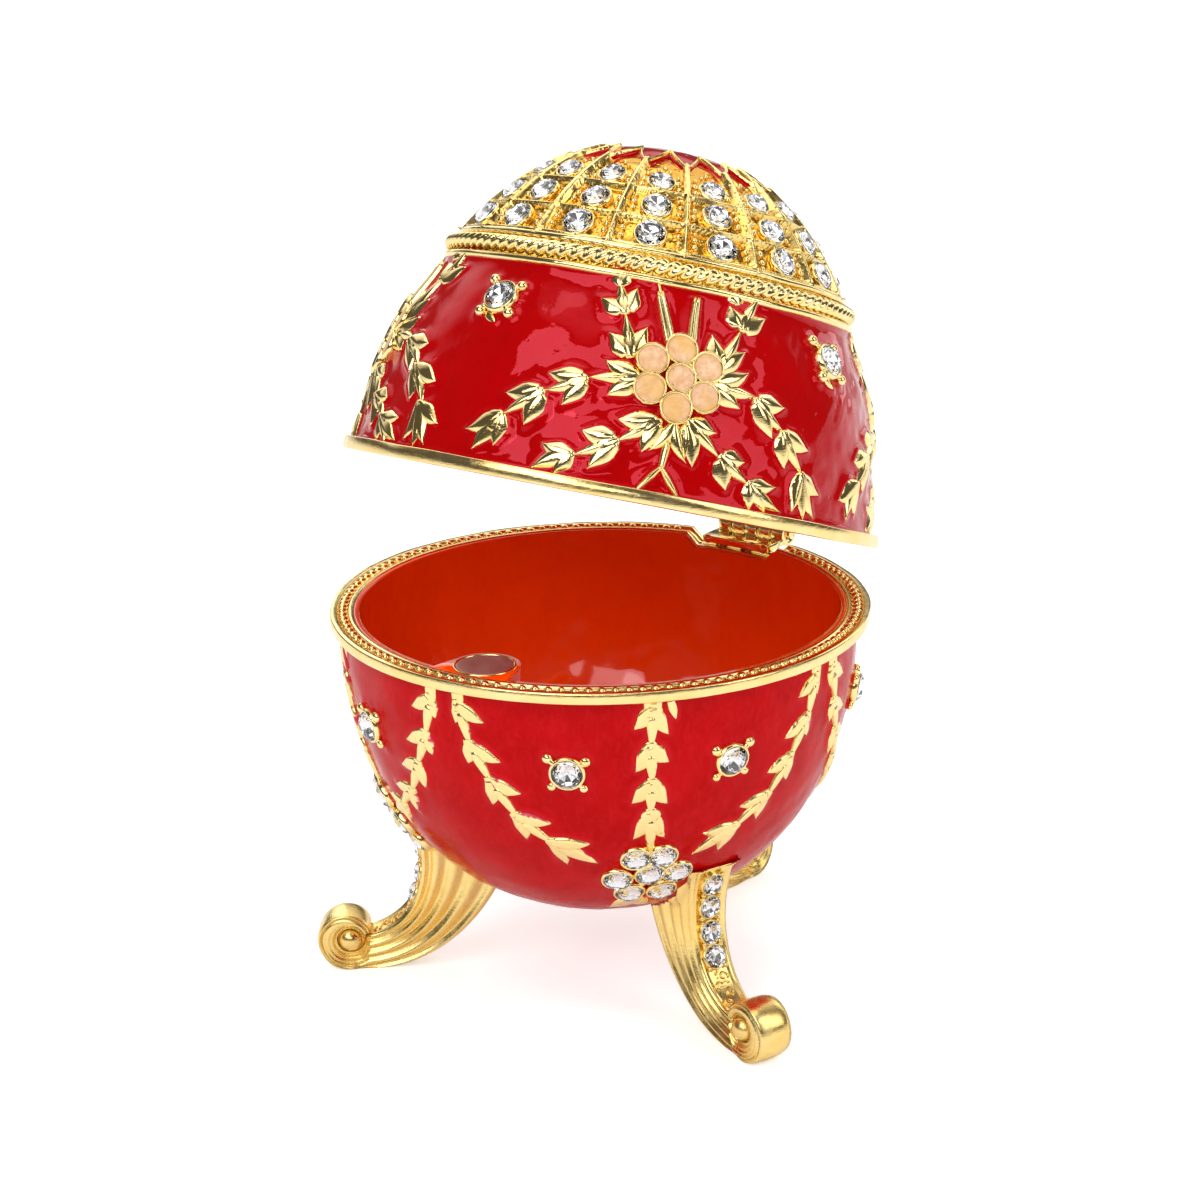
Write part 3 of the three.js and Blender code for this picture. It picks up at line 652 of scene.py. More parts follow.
def sprig(R, base, tips, nxt, w, h, kind="flat", stem=0.32, bend=0.13, body=None, mat=0, stem_kind=None, jit=1.0):
    """leaves from base to each tip, and a stem on to the next base"""
    egg = R.egg
    d = chart(egg, base, nxt) if nxt else sum(chart(egg, base, t) for t in tips)
    d = d / max(np.hypot(*d), 1e-6)
    for k, t in enumerate(tips):
        T = chart(egg, base, t)
        L = np.hypot(*T)
        cr = d[0] * T[1] - d[1] * T[0]
        sg = -1 if cr < 0 else 1
        bd = -sg * bend * (0.8 + 0.4 * rng.random()) * min(1, abs(cr) / L * 3)
        R.lobe(base, t, w * (0.92 + 0.16 * rng.random()) * min(1.0, 0.55 + L / 5), h * (0.94 + 0.12 * rng.random()), -bd,
               kind, wb=0.62, peak=0.42, h_tip=0.55 if kind == "flat" else 0.45, tilt=-0.035 if kind == "flat" else 0.0,
               tag=0.0, mat=mat)
    if body:
        f = body[0]
        b2 = (base[0] + d[0] * f / float(egg.radius(base[1])), base[1] + d[1] * f)
        b1 = (base[0] - d[0] * 0.45 / float(egg.radius(base[1])), base[1] - d[1] * 0.45)
        R.lobe(b1, b2, body[1], h * 1.02, 0, "flat" if kind == "flat" else "round", wb=0.45, we=0.3, peak=0.6, h_tip=0.9, tag=-0.8, mat=mat)
    if nxt:
        k0 = 0.9 if kind == "flat" else 0.5
        s0 = (base[0] + d[0] * k0 / float(egg.radius(base[1])), base[1] + d[1] * k0)
        s1 = (nxt[0] + d[0] * 0.35 / float(egg.radius(nxt[1])), nxt[1] + d[1] * 0.35)
        if kind == "flat":
            R.lobe(s0, s1, stem * 1.75, h * 1.08, rng.normal() * 0.03, "flat", wb=0.5, we=0.2, peak=0.3, h_tip=0.85, m=9, n=11,
                   taper=1.15, tilt=-0.03, tag=-0.25, mat=mat)
        else:
            R.lobe(s0, s1, stem, h * 1.05, rng.normal() * 0.05, stem_kind or "ridge", wb=0.45, we=0.2, peak=0.4, h_tip=0.62, n=12, m=9, mat=mat)


H_B = 0.42
LEFT = [
    ((-41.4, 2.24), [(-42.4, 4.15), (-35.7, 3.68)], (-39.3, 5.81)),
    ((-39.3, 5.81), [(-40.2, 7.9), (-32.5, 7.27)], (-35.2, 9.22)),
    ((-35.2, 9.22), [(-35.6, 11.75), (-28.6, 10.21)], (-30.2, 12.55)),
    ((-30.2, 12.55), [(-28.8, 15.1), (-22.4, 13.08)], (-22.6, 15.09)),
    ((-22.6, 15.09), [(-19.7, 17.75), (-13.8, 15.23), (-12.3, 17.5)], None),
]
CENTRE = [
    ((0.0, 1.7), [(-3.9, 3.7), (3.3, 4.35)], (-0.4, 5.36)),
    ((-0.4, 5.36), [(-3.5, 7.8), (3.5, 7.0)], (0.0, 8.88)),
    ((0.0, 8.88), [(-4.2, 10.95), (3.7, 11.2)], (0.1, 12.0)),
    ((0.1, 12.0), [(-3.5, 14.9), (3.8, 14.9)], (1.2, 17.0)),
]
for u in UNITS_BOWL:
    P = rel(BOWL, u)
    for base, tips, nxt in CENTRE:
        sprig(BR, P(*base), [P(*t) for t in tips], P(*nxt), 0.82, H_B, body=(1.1, 0.95))
    BR.lobe(P(0, 0.8), P(0, 2.6), 0.85, H_B, 0, "flat", wb=1.0, we=0.9, peak=0.3, h_tip=1, tag=-0.6)
    BR.lobe(P(3.6, 1.2), P(4.9, 3.1), 0.42, 0.3, 0, "flat", wb=0.8)
    for sg in (1, -1):
        Q = rel(BOWL, u, sg)
        for i, (base, tips, nxt) in enumerate(LEFT):
            j = (1 if sg < 0 else -1) * 0.25
            sprig(BR, Q(base[0] + j, base[1]), [Q(*t) for t in tips], Q(*nxt) if nxt else None, 0.78, H_B, body=(1.0, 0.72), stem=0.3)
        BR.lobe(Q(-41.6, 0.8), Q(-41.4, 3.0), 0.62, H_B, 0, "flat", wb=1.0, we=0.8, peak=0.3, h_tip=1, tag=-0.6)
    # small pair of leaves under the flower
    sprig(BR, P(-1.5, 22.5), [P(-8.2, 24.4), P(4.6, 24.2)], None, 0.95, 0.4, body=(1.2, 0.9))

    # stone flower: seven thin cups on a common plate
    f0 = P(2.0, 19.27)
    FC = (1.4, 18.9)
    pet = [(0, 0)] + [(d, t) for d, t in ((-4.1, -2.03), (2.5, -2.03), (-8.5, .41), (7.4, .1), (-4.8, 2.3), (4.6, 2.4))]
    for d, t in pet:
        q = P(FC[0] + d, FC[1] + t)
        c = BOWL.at(q[0], q[1], 0.0)
        n = BOWL.out(q[0], q[1])
        turned(cup_part, [[0.9, -0.5], [1.42, -0.5], [1.46, 0.42], [1.43, 0.62], [1.33, 0.68], [1.24, 0.60], [1.2, 0.36], [0.9, 0.3]], c, n, 28)
        turned(cup_part, [[0.0, 0.0], [1.26, 0.0], [1.26, -0.4], [0.0, -0.4]], c, n, 20, closed=False)
        stone(bowl_stones, c + n * 0.66, n, 1.24, rng, foil=bowl_foil, depth=0.34)
        BR.ring_edge(q[0], q[1], 1.45)
    for k, (d, t) in enumerate(pet[1:]):
        q = P(FC[0] + d * 0.55, FC[1] + t * 0.55)
        ball(cup_part, BOWL.at(q[0] + 0.02, q[1] + 0.1, 0.38), 0.4, BOWL.out(*q), 0.6)

CLAWS_BOWL = [((-17.7, 7.72), [(-4.1, -1.37), (3.95, -1.1), (-3.5, 1.4), (3.4, 1.55)])]
claw_part, claw_stones, claw_foil = Part(), Part(), Part()


def claw_stone(R, part, stones, foil, q, corners, rs=1.38, big=(0.5, 0.5, 0.42, 0.4)):
    egg = R.egg
    c, n = egg.at(q[0], q[1], 0.0), egg.out(q[0], q[1])
    turned(part, [[1.0, -0.4], [rs + 0.2, -0.4], [rs + 0.26, 0.3], [rs + 0.2, 0.62], [rs + 0.04, 0.68], [rs - 0.08, 0.5], [rs - 0.12, 0.15], [0.9, 0.1]], c, n, 32)
    stone(stones, c + n * 0.66, n, rs, rng, foil=foil, depth=0.42)
    R.ring_edge(q[0], q[1], rs + 0.25)
    for (dx, dy), br in zip(corners, big):
        ph = q[0] + dx / float(egg.radius(q[1]))
        S = q[1] + dy
        b = egg.at(ph, S, 0.30)
        ball(part, b, br, egg.out(ph, S), 0.85, nu=14, nv=9)
        k = 0.62
        i0 = egg.at(q[0] + dx * k / float(egg.radius(q[1])), q[1] + dy * k, 0.5)
        tube(part, np.linspace(b, i0, 4), [br * 0.62, br * 0.55, br * 0.5, br * 0.42], 8, up=egg.out(ph, S))
        R.ring_edge(ph, S, br * 0.95, 12)


for u in UNITS_BOWL:
    for sg in (1, -1):
        Q = rel(BOWL, u, sg)
        q = Q(-17.9, 7.72)
        cs = [(sg * -1.66, -1.37), (sg * 1.58, -1.15), (sg * -1.42, 1.4), (sg * 1.38, 1.52)]
        claw_stone(BR, claw_part, claw_stones, claw_foil, q, cs)


def enamel_sheet(part, egg, top_S, end_S, edges, nphi, nrow, wav, amp, men, men_len, lift=0.0, back=-0.45, band_edge=None, closed_top=False):
    """an enamelled band or bowl: outer skin with a meniscus at every gold edge, and a coarse back.
    top_S(phi) is where it starts; end_S(phi) where it ends."""
    phi = np.arange(nphi) * 2 * math.pi / nphi
    s0, s1 = top_S(phi), end_S(phi)
    f = np.linspace(0, 1, nrow)
    S = s0[None] + (s1 - s0)[None] * f[:, None]
    PH = np.broadcast_to(phi, S.shape)
    base = egg.at(PH, S)
    h = amp * wav(base)
    if edges is not None and len(edges):
        kd = kdtree.KDTree(len(edges))
        for i, p in enumerate(edges):
            kd.insert(p, i)
        kd.balance()
        flat = base.reshape(-1, 3)
        d = np.array([kd.find(p)[2] for p in flat]).reshape(S.shape)
    else:
        d = np.full(S.shape, 9.0)
    if band_edge is not None:
        d = np.minimum(d, band_edge(PH, S))
    m = men * np.exp(-d / men_len)
    h = h * np.clip(d / 1.0, 0.25, 1) + m + lift
    tag = np.clip(np.exp(-(d / 0.30) ** 2), 0, 1)
    outer = egg.at(PH, S, h)
    nb = 7
    g = np.linspace(1, 0, nb)
    Sb = s0[None] + (s1 - s0)[None] * g[:, None]
    inner = egg.at(np.broadcast_to(phi, Sb.shape), Sb, back)
    part.rings(np.vstack([outer, inner]), wrap_r=True, tag=np.vstack([tag, np.zeros((nb, nphi))]))


def notch_depth(phi, half=NOTCH_HALF, deep=NOTCH_DEEP):
    x, y = RIM_R * np.cos(phi), np.sin(phi)
    return np.where(y > 0, deep * np.clip((half + 0.6 - np.abs(x)) / 1.2, 0, 1), 0.0)


q_ = 1.0
bowl_wav, lid_wav = waves(3, 5.0, 11.0), waves(5, 3.2, 8.5)
fine_wav = waves(9, 1.6, 3.4)
part = Part()
S_low = float(BOWL.s_of(1.05))
enamel_sheet(part, BOWL,
             lambda ph: BOWL.s_of(np.maximum(0.85, notch_depth(ph) + 0.12)),
             lambda ph: np.full(len(ph), BOWL.top - 0.03),
             np.vstack(BR.edge), int(560 * q_), int(132 * q_),
             lambda p: bowl_wav(p) + 0.3 * fine_wav(p), 0.045, 0.16, 0.30,
             band_edge=lambda PH, S: np.abs(S - S_low) + 0.05)
part.build("bowl_enamel", "base", [RED_BOWL], "red_enamel", ["bowl"])
BR.part.build("bowl_leaves", "base", [GOLD_LEAF], "gold_plate")
cup_part.build("bowl_flower_cups", "base", [GOLD_BRIGHT], "gold_plate")
bowl_stones.build("bowl_flower_stones", "base", [CRYSTAL], "crystal")
bowl_foil.build("bowl_flower_foils", "base", [FOIL], "nickel")
claw_part.build("bowl_claws", "base", [GOLD_BRIGHT], "gold_plate")
claw_stones.build("bowl_claw_stones", "base", [CRYSTAL], "crystal", ["stone_bowl_%d" % i for i in range(1, 9)])
claw_foil.build("bowl_claw_foils", "base", [FOIL], "nickel")

# ---------------------------------------------------------------- rims
MAGNET_AZ, MAGNET_DIST, BOSS_R = -85 * RAD, 19.75, 3.15


def rim_ring(part, prof, sign, nphi=720, wob=0.0, seed=1, thick=1.05):
    phi = np.arange(int(nphi * q_)) * 2 * math.pi / int(nphi * q_)
    dep = notch_depth(phi)
    k = (np.maximum(thick, dep + 0.35) - dep) / thick
    w = waves(seed, 4.0, 9.0, 10)
    P = []
    for r, z, a in prof:
        zz = -dep + z * k
        ring = np.stack([r * np.cos(phi), r * np.sin(phi), zz], -1)
        off = wob * a * w(ring * [1, 1, 0])
        ring[:, 0] += off * np.cos(phi)
        ring[:, 1] += off * np.sin(phi)
        ring[:, 2] += 0.6 * off
        if sign > 0:
            ring[:, 2] *= -1
        P.append(ring)
    part.rings(np.array(P), wrap_r=True)


part = Part()
rim_ring(part, [(24.1, -1.0, 0), (24.75, -1.06, .6), (24.93, -1.02, 1), (25.0, -0.9, 1), (25.02, -0.5, 1), (25.0, -0.14, 1), (24.95, -0.05, 1), (24.85, 0.0, .6),
                (24.6, 0.0, .2), (24.40, 0.0, 0), (24.32, -0.05, 0), (24.28, -0.26, 0), (23.8, -0.3, 0), (23.36, -0.26, 0), (23.3, -0.07, 0), (23.2, -0.01, 0),
                (23.0, -0.0, .2), (22.84, -0.05, .3), (22.74, -0.18, .3), (22.70, -0.6, 0), (22.9, -0.8, 0), (23.5, -0.9, 0)], -1, wob=0.03)
N_BEAD = 130
for i in range(N_BEAD):
    a = (i + 0.5) * 2 * math.pi / N_BEAD
    if math.sin(a) > 0 and abs(RIM_R * math.cos(a)) < 6.4:
        continue
    c = np.array([23.82 * math.cos(a), 23.82 * math.sin(a), -0.17 + 0.02 * rng.normal()])
    er, et = np.array([math.cos(a), math.sin(a), 0]), np.array([-math.sin(a), math.cos(a), 0])
    th = 0.5 + 0.1 * rng.normal()
    ax, ay = er * math.cos(th) + et * math.sin(th), -er * math.sin(th) + et * math.cos(th)
    s = 1 + 0.06 * rng.normal()
    cc = circle(10)
    P = np.array([c + s * math.sin(u) * (0.46 * x * ax + 0.40 * y * ay)[None] + np.array([0, 0, 0.34 * math.cos(u)])
                  for u in np.linspace(0.12, 2.2, 6) for x, y in cc]).reshape(6, 10, 3)
    part.rings(P)
part.build("bowl_rim", "base", [GOLD_RIM], "gold_plate")


# ---------------------------------------------------------------- lacquered lining with the magnet's boss
def lining(egg, sign, name, body, wavf, amp, mats, nphi, nrow):
    part = Part()
    phi = np.arange(nphi) * 2 * math.pi / nphi
    dep = notch_depth(phi)
    t0 = np.maximum(0.15, dep + 0.15)
    S0 = egg.s_of(t0)
    f = np.linspace(0, 1, nrow) ** 1.25
    S = S0[None] + (egg.top - 0.03 - S0)[None] * f[:, None]
    PH = np.broadcast_to(phi, S.shape)
    T = egg.t_of(S)
    wall_r = egg.radius(S)
    # boss: a round post that leans out into the wall as it goes down
    dphi = (PH - MAGNET_AZ + math.pi) % (2 * math.pi) - math.pi
    dist = MAGNET_DIST + 2.9 * (np.clip(T / 7.0, 0, 1)) ** 2.2
    rb = BOSS_R * np.sqrt(np.clip(1 - (np.clip(T - 3.2, 0, None) / 5.2) ** 2, 0, 1))
    off = dist * np.sin(np.clip(dphi, -1, 1))
    inside = (np.abs(off) < rb) & (np.abs(dphi) < 0.5)
    near = np.where(inside, dist * np.cos(dphi) - np.sqrt(np.clip(rb ** 2 - off ** 2, 0, None)), 99.0)
    k = 0.45
    hh = np.clip(0.5 + 0.5 * (near - wall_r) / k, 0, 1)
    rr = near * (1 - hh) + wall_r * hh - k * hh * (1 - hh)
    rr = np.minimum(rr, wall_r)
    base = egg.at(PH, S)
    h = -0.06 - amp * (1 + wavf(base)) * np.clip((T - 0.6) / 3, 0, 1)
    nr, nt = egg.normal(S)
    r = rr + h * nr
    z = sign * (T + h * nt)
    inner = np.stack([r * np.cos(PH), r * np.sin(PH), z], -1)
    lip = np.stack([22.86 * np.cos(phi), 22.86 * np.sin(phi), sign * t0], -1)[None]
    nb = 8
    g = np.linspace(0, 1, nb)
    Sb = S0[None] + (egg.top - 0.03 - S0)[None] * g[::-1, None]
    back = egg.at(np.broadcast_to(phi, Sb.shape), Sb, 0.62)
    back[-1] = np.stack([22.95 * np.cos(phi), 22.95 * np.sin(phi), sign * (t0 + 0.1)], -1)
    part.rings(np.vstack([lip, inner, back]), wrap_r=True)
    return part.build(name, body, mats, "red_enamel")


in_wav = waves(21, 4.5, 12.0)
lining(BOWL_IN, -1, "bowl_lining", "base", lambda p: in_wav(p) + 0.25 * fine_wav(p), 0.075, [LACQUER], int(360 * q_), int(96 * q_))


def magnet(sign, body, name, node_name):
    p = Part()
    c = np.array([MAGNET_DIST * math.cos(MAGNET_AZ), MAGNET_DIST * math.sin(MAGNET_AZ), 0.0])
    ax = np.array([0, 0, 1.0 if sign < 0 else -1.0])
    turned(p, [[2.56, -0.6], [2.82, -0.6], [2.82, -0.12], [2.76, -0.05], [2.66, -0.02], [2.58, -0.07], [2.56, -0.2]], c, ax, 56)
    o1 = p.build(name + "_ring", body, [GOLD_BRIGHT], "gold_plate")
    p = Part()
    turned(p, [[0.0, -0.05], [1.6, -0.05], [2.35, -0.055], [2.48, -0.08], [2.54, -0.16], [2.54, -1.3], [0.0, -1.3]], c, ax, 56, closed=False)
    o2 = p.build(name, body, [NICKEL], "nickel", [node_name])
    return o1, o2


magnet(-1, "base", "magnet_lower", "magnet_bowl")

# ---------------------------------------------------------------- legs
bez = lambda P, t: ((1 - t) ** 3)[:, None] * P[0] + (3 * t * (1 - t) ** 2)[:, None] * P[1] + (3 * t * t * (1 - t))[:, None] * P[2] + (t ** 3)[:, None] * P[3]
OUT = np.array([(18.9, 17.4), (16.1, 12.8), (16.4, 4.7), (22.9, 3.35)])
INN = np.array([(9.0, 11.2), (11.2, 5.5), (15.5, 0.15), (22.8, -0.25)])
VC = np.array([24.45, 3.05])


def leg(name, az):
    gp, sp, fp = Part(), Part(), Part()
    nA, nB, nC = 46, 8, 38
    t = np.linspace(0, 1, nA)
    O = bez(OUT, t)
    N = bez(INN, t)
    pol = lambda th, r: VC + np.stack([r * np.cos(th), r * np.sin(th)], -1)
    u = np.linspace(0, 1, nB + 1)[1:]
    O2 = pol((169 + (265 - 169) * u) * RAD, 1.58 + (1.30 - 1.58) * u)
    N2 = pol((-116.6 + 21.6 * u) * RAD, 3.69 + (3.06 - 3.69) * u)
    w = np.linspace(0, 1, nC + 1)[1:]
    th = (-95 + 250 * w)
    rN = np.interp(th, [-95, -60, -30, 0, 40, 80, 110, 140, 155], [3.06, 3.05, 3.03, 3.0, 2.78, 2.45, 2.25, 2.05, 1.9])
    O3 = pol(th * RAD, np.interp(th, [-95, 155], [1.30, 1.36]))
    N3 = pol(th * RAD, rN)
    O, N = np.vstack([O, O2, O3]), np.vstack([N, N2, N3])
    m = len(O)
    g = np.concatenate([t * 0.6, 0.6 + 0.1 * u, 0.7 + 0.3 * w])      # 0 top, .6 end of strip, 1 tip of the scroll
    wo = np.interp(g, [0, .6, .7, 1], [2.15, 1.5, 1.62, 1.8])
    wi = np.interp(g, [0, .55, .66, .75, 1], [1.15, 1.2, 1.5, 1.85, 1.95])
    amp = np.interp(g, [0, .08, .45, .60, .72, .82, .9, 1], [0.36, 0.48, 0.44, 0.36, 0.2, 0.06, 0.0, 0.0])
    roll = sstep(g, 0.42, 0.82)
    nf, ns, ni = 15, 45, 9
    mid_line = (O + N) / 2
    t_mm = np.concatenate([[0], np.cumsum(np.hypot(*np.diff(mid_line, axis=0).T))]) - 1.0
    rows = []
    v = np.linspace(-1, 1, nf)
    s = np.linspace(0.03, 0.97, ns)
    rib = (0.5 + 0.5 * np.cos(2 * math.pi * 4 * s)) ** 0.8
    for i in range(m):
        o, n = O[i], N[i]
        d = (o - n) / np.linalg.norm(o - n)
        ring = []
        # face with raised edges
        e = 0.24 * sstep(np.abs(v), 0.70, 0.86) * (1 - 0.9 * sstep(np.abs(v), 0.93, 1.0)) * np.interp(g[i], [0, .5, .6, .7], [1, 1, .6, 0])
        for vv, ee in zip(v, e):
            q = o + d * ee
            ring.append((q[0], vv * (wo[i] - 0.1), q[1]))
        side = o + (n - o) * s[:, None]
        y = wo[i] + (wi[i] - wo[i]) * s ** 1.3 + amp[i] * (rib - 0.45) * np.minimum(1, np.minimum(s, 1 - s) / 0.05 * 0.5 + 0.5)
        y = y + roll[i] * (0.42 * np.sin(math.pi * np.clip(s * 1.02, 0, 1)) ** 0.8 - 0.34)
        # a half-round lobe where the flutes start
        run = t_mm[i]
        y = y + 0.42 * sstep(2.6 * np.sqrt(np.maximum(0, 1 - ((s - 0.30) / 0.26) ** 2)) - run, 0.0, 0.5) * (run < 5)
        for (a, b), yy in zip(side, y):
            ring.append((a, yy, b))
        # rounded inner edge
        for k in np.linspace(1, -1, ni)[0:]:
            q = n - d * 0.22 * math.sqrt(max(0, 1 - k * k))
            ring.append((q[0], k * (wi[i] - 0.05), q[1]))
        for (a, b), yy in zip(side[::-1], y[::-1]):
            ring.append((a, -yy, b))
        rows.append(ring)
    R = np.array(rows)
    # the top is moulded to the bowl; the foot is ground flat
    rho = np.hypot(R[..., 0], R[..., 1]) + 0.75
    lim = BOWL_H * np.maximum(0, 1 - np.minimum(1, rho / BOWL_R) ** BOWL_Q) ** (1 / BOWL_P)
    R[..., 2] = np.minimum(R[..., 2], RIM_Z - lim)
    fz = RIM_Z - BOWL_H * np.maximum(0, 1 - np.minimum(1, O[:nA, 0] / BOWL_R) ** BOWL_Q) ** (1 / BOWL_P)
    R[..., 2] = np.minimum(R[..., 2], O[:nA, 1][np.argmax(O[:nA, 1] < fz)] + 0.35)
    R[..., 2] = np.maximum(R[..., 2], 0.0)
    ca, sa = math.cos(az * RAD), math.sin(az * RAD)

    def turn(p):
        p = np.asarray(p, float)
        return np.stack([p[..., 0] * ca - p[..., 1] * sa, p[..., 0] * sa + p[..., 1] * ca, p[..., 2] - RIM_Z], -1)
    below = (RIM_Z - lim) - R[..., 2]                     # how far under the bowl
    gp.rings(turn(R), tag=1.85 - below / 0.8)
    # core of the scroll, its boss and ring on both sides
    ay = np.array([-sa, ca, 0.0])
    cc = turn([VC[0], 0, VC[1]])
    turned(gp, [[0, 1.3], [1.5, 1.3], [1.5, -1.3], [0, -1.3]], cc, ay, 28, closed=False)
    for sg in (1, -1):
        bc = turn([VC[0], sg * 1.30, VC[1]])
        ball(gp, bc, 1.12, ay * sg, 0.9, 24, 12)
    # stones down the face, with small prongs
    tt = np.linspace(0, 1, 600)
    curve = bez(OUT, tt)
    for k, zc in enumerate([14.5, 12.05, 9.5, 7.25]):
        i = int(np.argmin(np.abs(curve[:, 1] - zc)))
        p = curve[i]
        tan = curve[min(i + 1, 599)] - curve[max(i - 1, 0)]
        tan /= np.linalg.norm(tan)
        nn = np.array([-tan[1], tan[0]])
        n3 = turn([nn[0], 0, nn[1]]) - turn([0, 0, 0])
        t3 = turn([tan[0], 0, tan[1]]) - turn([0, 0, 0])
        c3 = turn([p[0], 0, p[1]])
        stone(sp, c3 + n3 * 0.42, n3, 1.03, rng, foil=fp, depth=0.3)
        turned(gp, [[0.8, -0.2], [1.22, -0.2], [1.24, 0.22], [1.16, 0.40], [1.04, 0.36], [0.98, 0.1]], c3, n3, 24)
        for sg in (1, -1):
            for e in (1, -1):
                ball(gp, c3 + n3 * 0.34 + t3 * 0.98 * e + ay * sg * 0.86, 0.26, n3, 0.9, 7, 5)
    # scroll relief on the lower face
    for j, tq in enumerate(np.linspace(0.69, 0.94, 6)):
        i = int(tq * 599)
        p = curve[i]
        tan = curve[min(i + 1, 599)] - curve[i - 1]
        tan /= np.linalg.norm(tan)
        nn = np.array([-tan[1], tan[0]])
        n3 = turn([nn[0], 0, nn[1]]) - turn([0, 0, 0])
        t3 = turn([tan[0], 0, tan[1]]) - turn([0, 0, 0])
        c3 = turn([p[0], 0, p[1]]) + n3 * 0.02
        sg = 1 if j % 2 else -1
        a = np.linspace(0, 300, 16) * RAD + j
        rr = np.linspace(0.52, 0.2, 16) * (1.15 - 0.3 * tq)
        path = c3 + (rr * np.cos(a))[:, None] * t3 + (rr * np.sin(a) + 0.38 * sg)[:, None] * ay + 0.06 * n3
        tube(gp, path, 0.11, 6, up=n3)
        for _ in range(3):
            o = rng.uniform(-0.9, 0.9, 2)
            ball(gp, c3 + t3 * o[0] * 0.7 + ay * o[1] * 0.9 + n3 * 0.02, 0.13, n3, 0.8, 6, 4)
    gp.build("leg_gold_" + name, "base", [GOLD_SATIN], "gold_plate", ["leg_" + name])
    sp.build("leg_gems_" + name, "base", [CRYSTAL], "crystal", ["stone_leg_%s_%d" % (name, k) for k in range(1, 5)])
    fp.build("leg_foils_" + name, "base", [FOIL], "nickel")


for nm, az in LEG_AZ.items():
    leg(nm, az)


# ---------------------------------------------------------------- hinge
def slab(part, x0, x1, y0, y1, z0, z1, b=0.12, mat=0):
    sec = []
    for cy, cz, a0 in ((y1 - b, z1 - b, 0), (y0 + b, z1 - b, 90), (y0 + b, z0 + b, 180), (y1 - b, z0 + b, 270)):
        for a in (0, 30, 60, 90):
            sec.append((cy + b * math.cos((a0 + a) * RAD), cz + b * math.sin((a0 + a) * RAD)))
    sec = np.array(sec)
    mid = sec.mean(0)
    P = []
    for x, k in ((x0, 0.9), (x0 + b * 0.4, 0.97), (x0 + b, 1), (x1 - b, 1), (x1 - b * 0.4, 0.97), (x1, 0.9)):
        ring = mid + (sec - mid) * (1 if k == 1 else 1) + (sec - mid) / np.linalg.norm(sec - mid, axis=1)[:, None] * (-(1 - k) * b * 6)
        P.append(np.column_stack([np.full(len(ring), x), ring]))
    part.rings(np.array(P), mat=mat)


HL, KR, KB, LT = 7.6, 1.35, 0.78, 0.7
KN = (HL - 4 * 0.3) / 5


def knuckle(part, x0, x1, y, z):
    c = 0.1
    turned(part, [[KB, x0], [KR - c, x0], [KR, x0 + c], [KR, (x0 + x1) / 2], [KR, x1 - c], [KR - c, x1], [KB, x1]], (0, y, z), (1, 0, 0), 36)


def hinge_leaf(which):
    p = Part()
    zc = HINGE_Z if which < 0 else HINGE_Z - LID_GAP
    zb = -NOTCH_DEEP + 0.3 if which < 0 else NOTCH_DEEP - 0.3 - LT
    slab(p, -HL / 2, HL / 2, 22.85, HINGE_Y - KR - 0.32, zb, zb + LT)
    for k in ((0, 2, 4) if which < 0 else (1, 3)):
        x0 = -HL / 2 + k * (KN + 0.3)
        knuckle(p, x0, x0 + KN, HINGE_Y, zc)
        slab(p, x0 + 0.02, x0 + KN - 0.02, HINGE_Y - KR - 0.7, HINGE_Y - KR * 0.62, zb + 0.02, zb + LT - 0.02, 0.1)
    # solder fillet at the root
    for sx in (-1, 1):
        ball(p, (sx * (HL / 2 - 0.5), 23.0, zb + LT / 2), 0.5, (0, 1, 0), 0.7, 10, 7)
    return p


hinge_leaf(-1).build("hinge_lower", "base", [GOLD_BRIGHT], "gold_plate", ["hinge_leaf_bowl"])
p = Part()
turned(p, [[0, -HL / 2 - 0.32], [0.36, -HL / 2 - 0.3], [0.5, -HL / 2 - 0.16], [0.5, 0], [0.5, HL / 2 + 0.16], [0.36, HL / 2 + 0.3], [0, HL / 2 + 0.32]],
       (0, HINGE_Y, HINGE_Z), (1, 0, 0), 24, closed=False)
p.build("hinge_rod", "base", [GOLD_BRIGHT], "gold_plate", ["hinge_pin"])

# ================================================================ LID
LR = Relief(LID)
lcup, lpeach = Part(), Part()
lclaw, lclaw_stones, lclaw_foil = Part(), Part(), Part()
H_L = 0.62


def tulip(base, a, b, nxt, w=1.0, h=H_L, stem=0.6):
    """a bulb at base, two pointed lobes to a and b, and a leaf in the middle running on to nxt"""
    egg = LID
    d = chart(egg, base, nxt)
    d = d / np.hypot(*d)
    R0 = float(egg.radius(base[1]))
    mv = lambda k: (base[0] + d[0] * k / R0, base[1] + d[1] * k)
    LR.lobe(mv(-0.25), mv(1.75), 0.98, h * 1.0, 0, "round", wb=0.35, we=0.35, peak=0.5, h_tip=0.8, taper=2.2)
    for t in (a, b):
        T = chart(egg, base, t)
        cr = d[0] * T[1] - d[1] * T[0]
        sg = 1 if cr > 0 else -1
        # outer side swells, tip turns a little outward
        o = (base[0] + sg * (-d[1]) * 0.28 / R0, base[1] + sg * d[0] * 0.28)
        LR.lobe(o, t, w * (0.94 + 0.1 * rng.random()), h * (1.0 + 0.1 * rng.random()), sg * 0.10, "ridge", n=13, m=11, wb=0.55, we=0.05, peak=0.42, h_tip=0.42, taper=1.6)
    LR.lobe(mv(0.95), (nxt[0] + d[0] * 0.2 / R0, nxt[1] + d[1] * 0.2), stem, h * 0.98, rng.normal() * 0.05, "ridge", n=13, m=9,
            wb=0.5, we=0.16, peak=0.36, h_tip=0.6, taper=1.25)


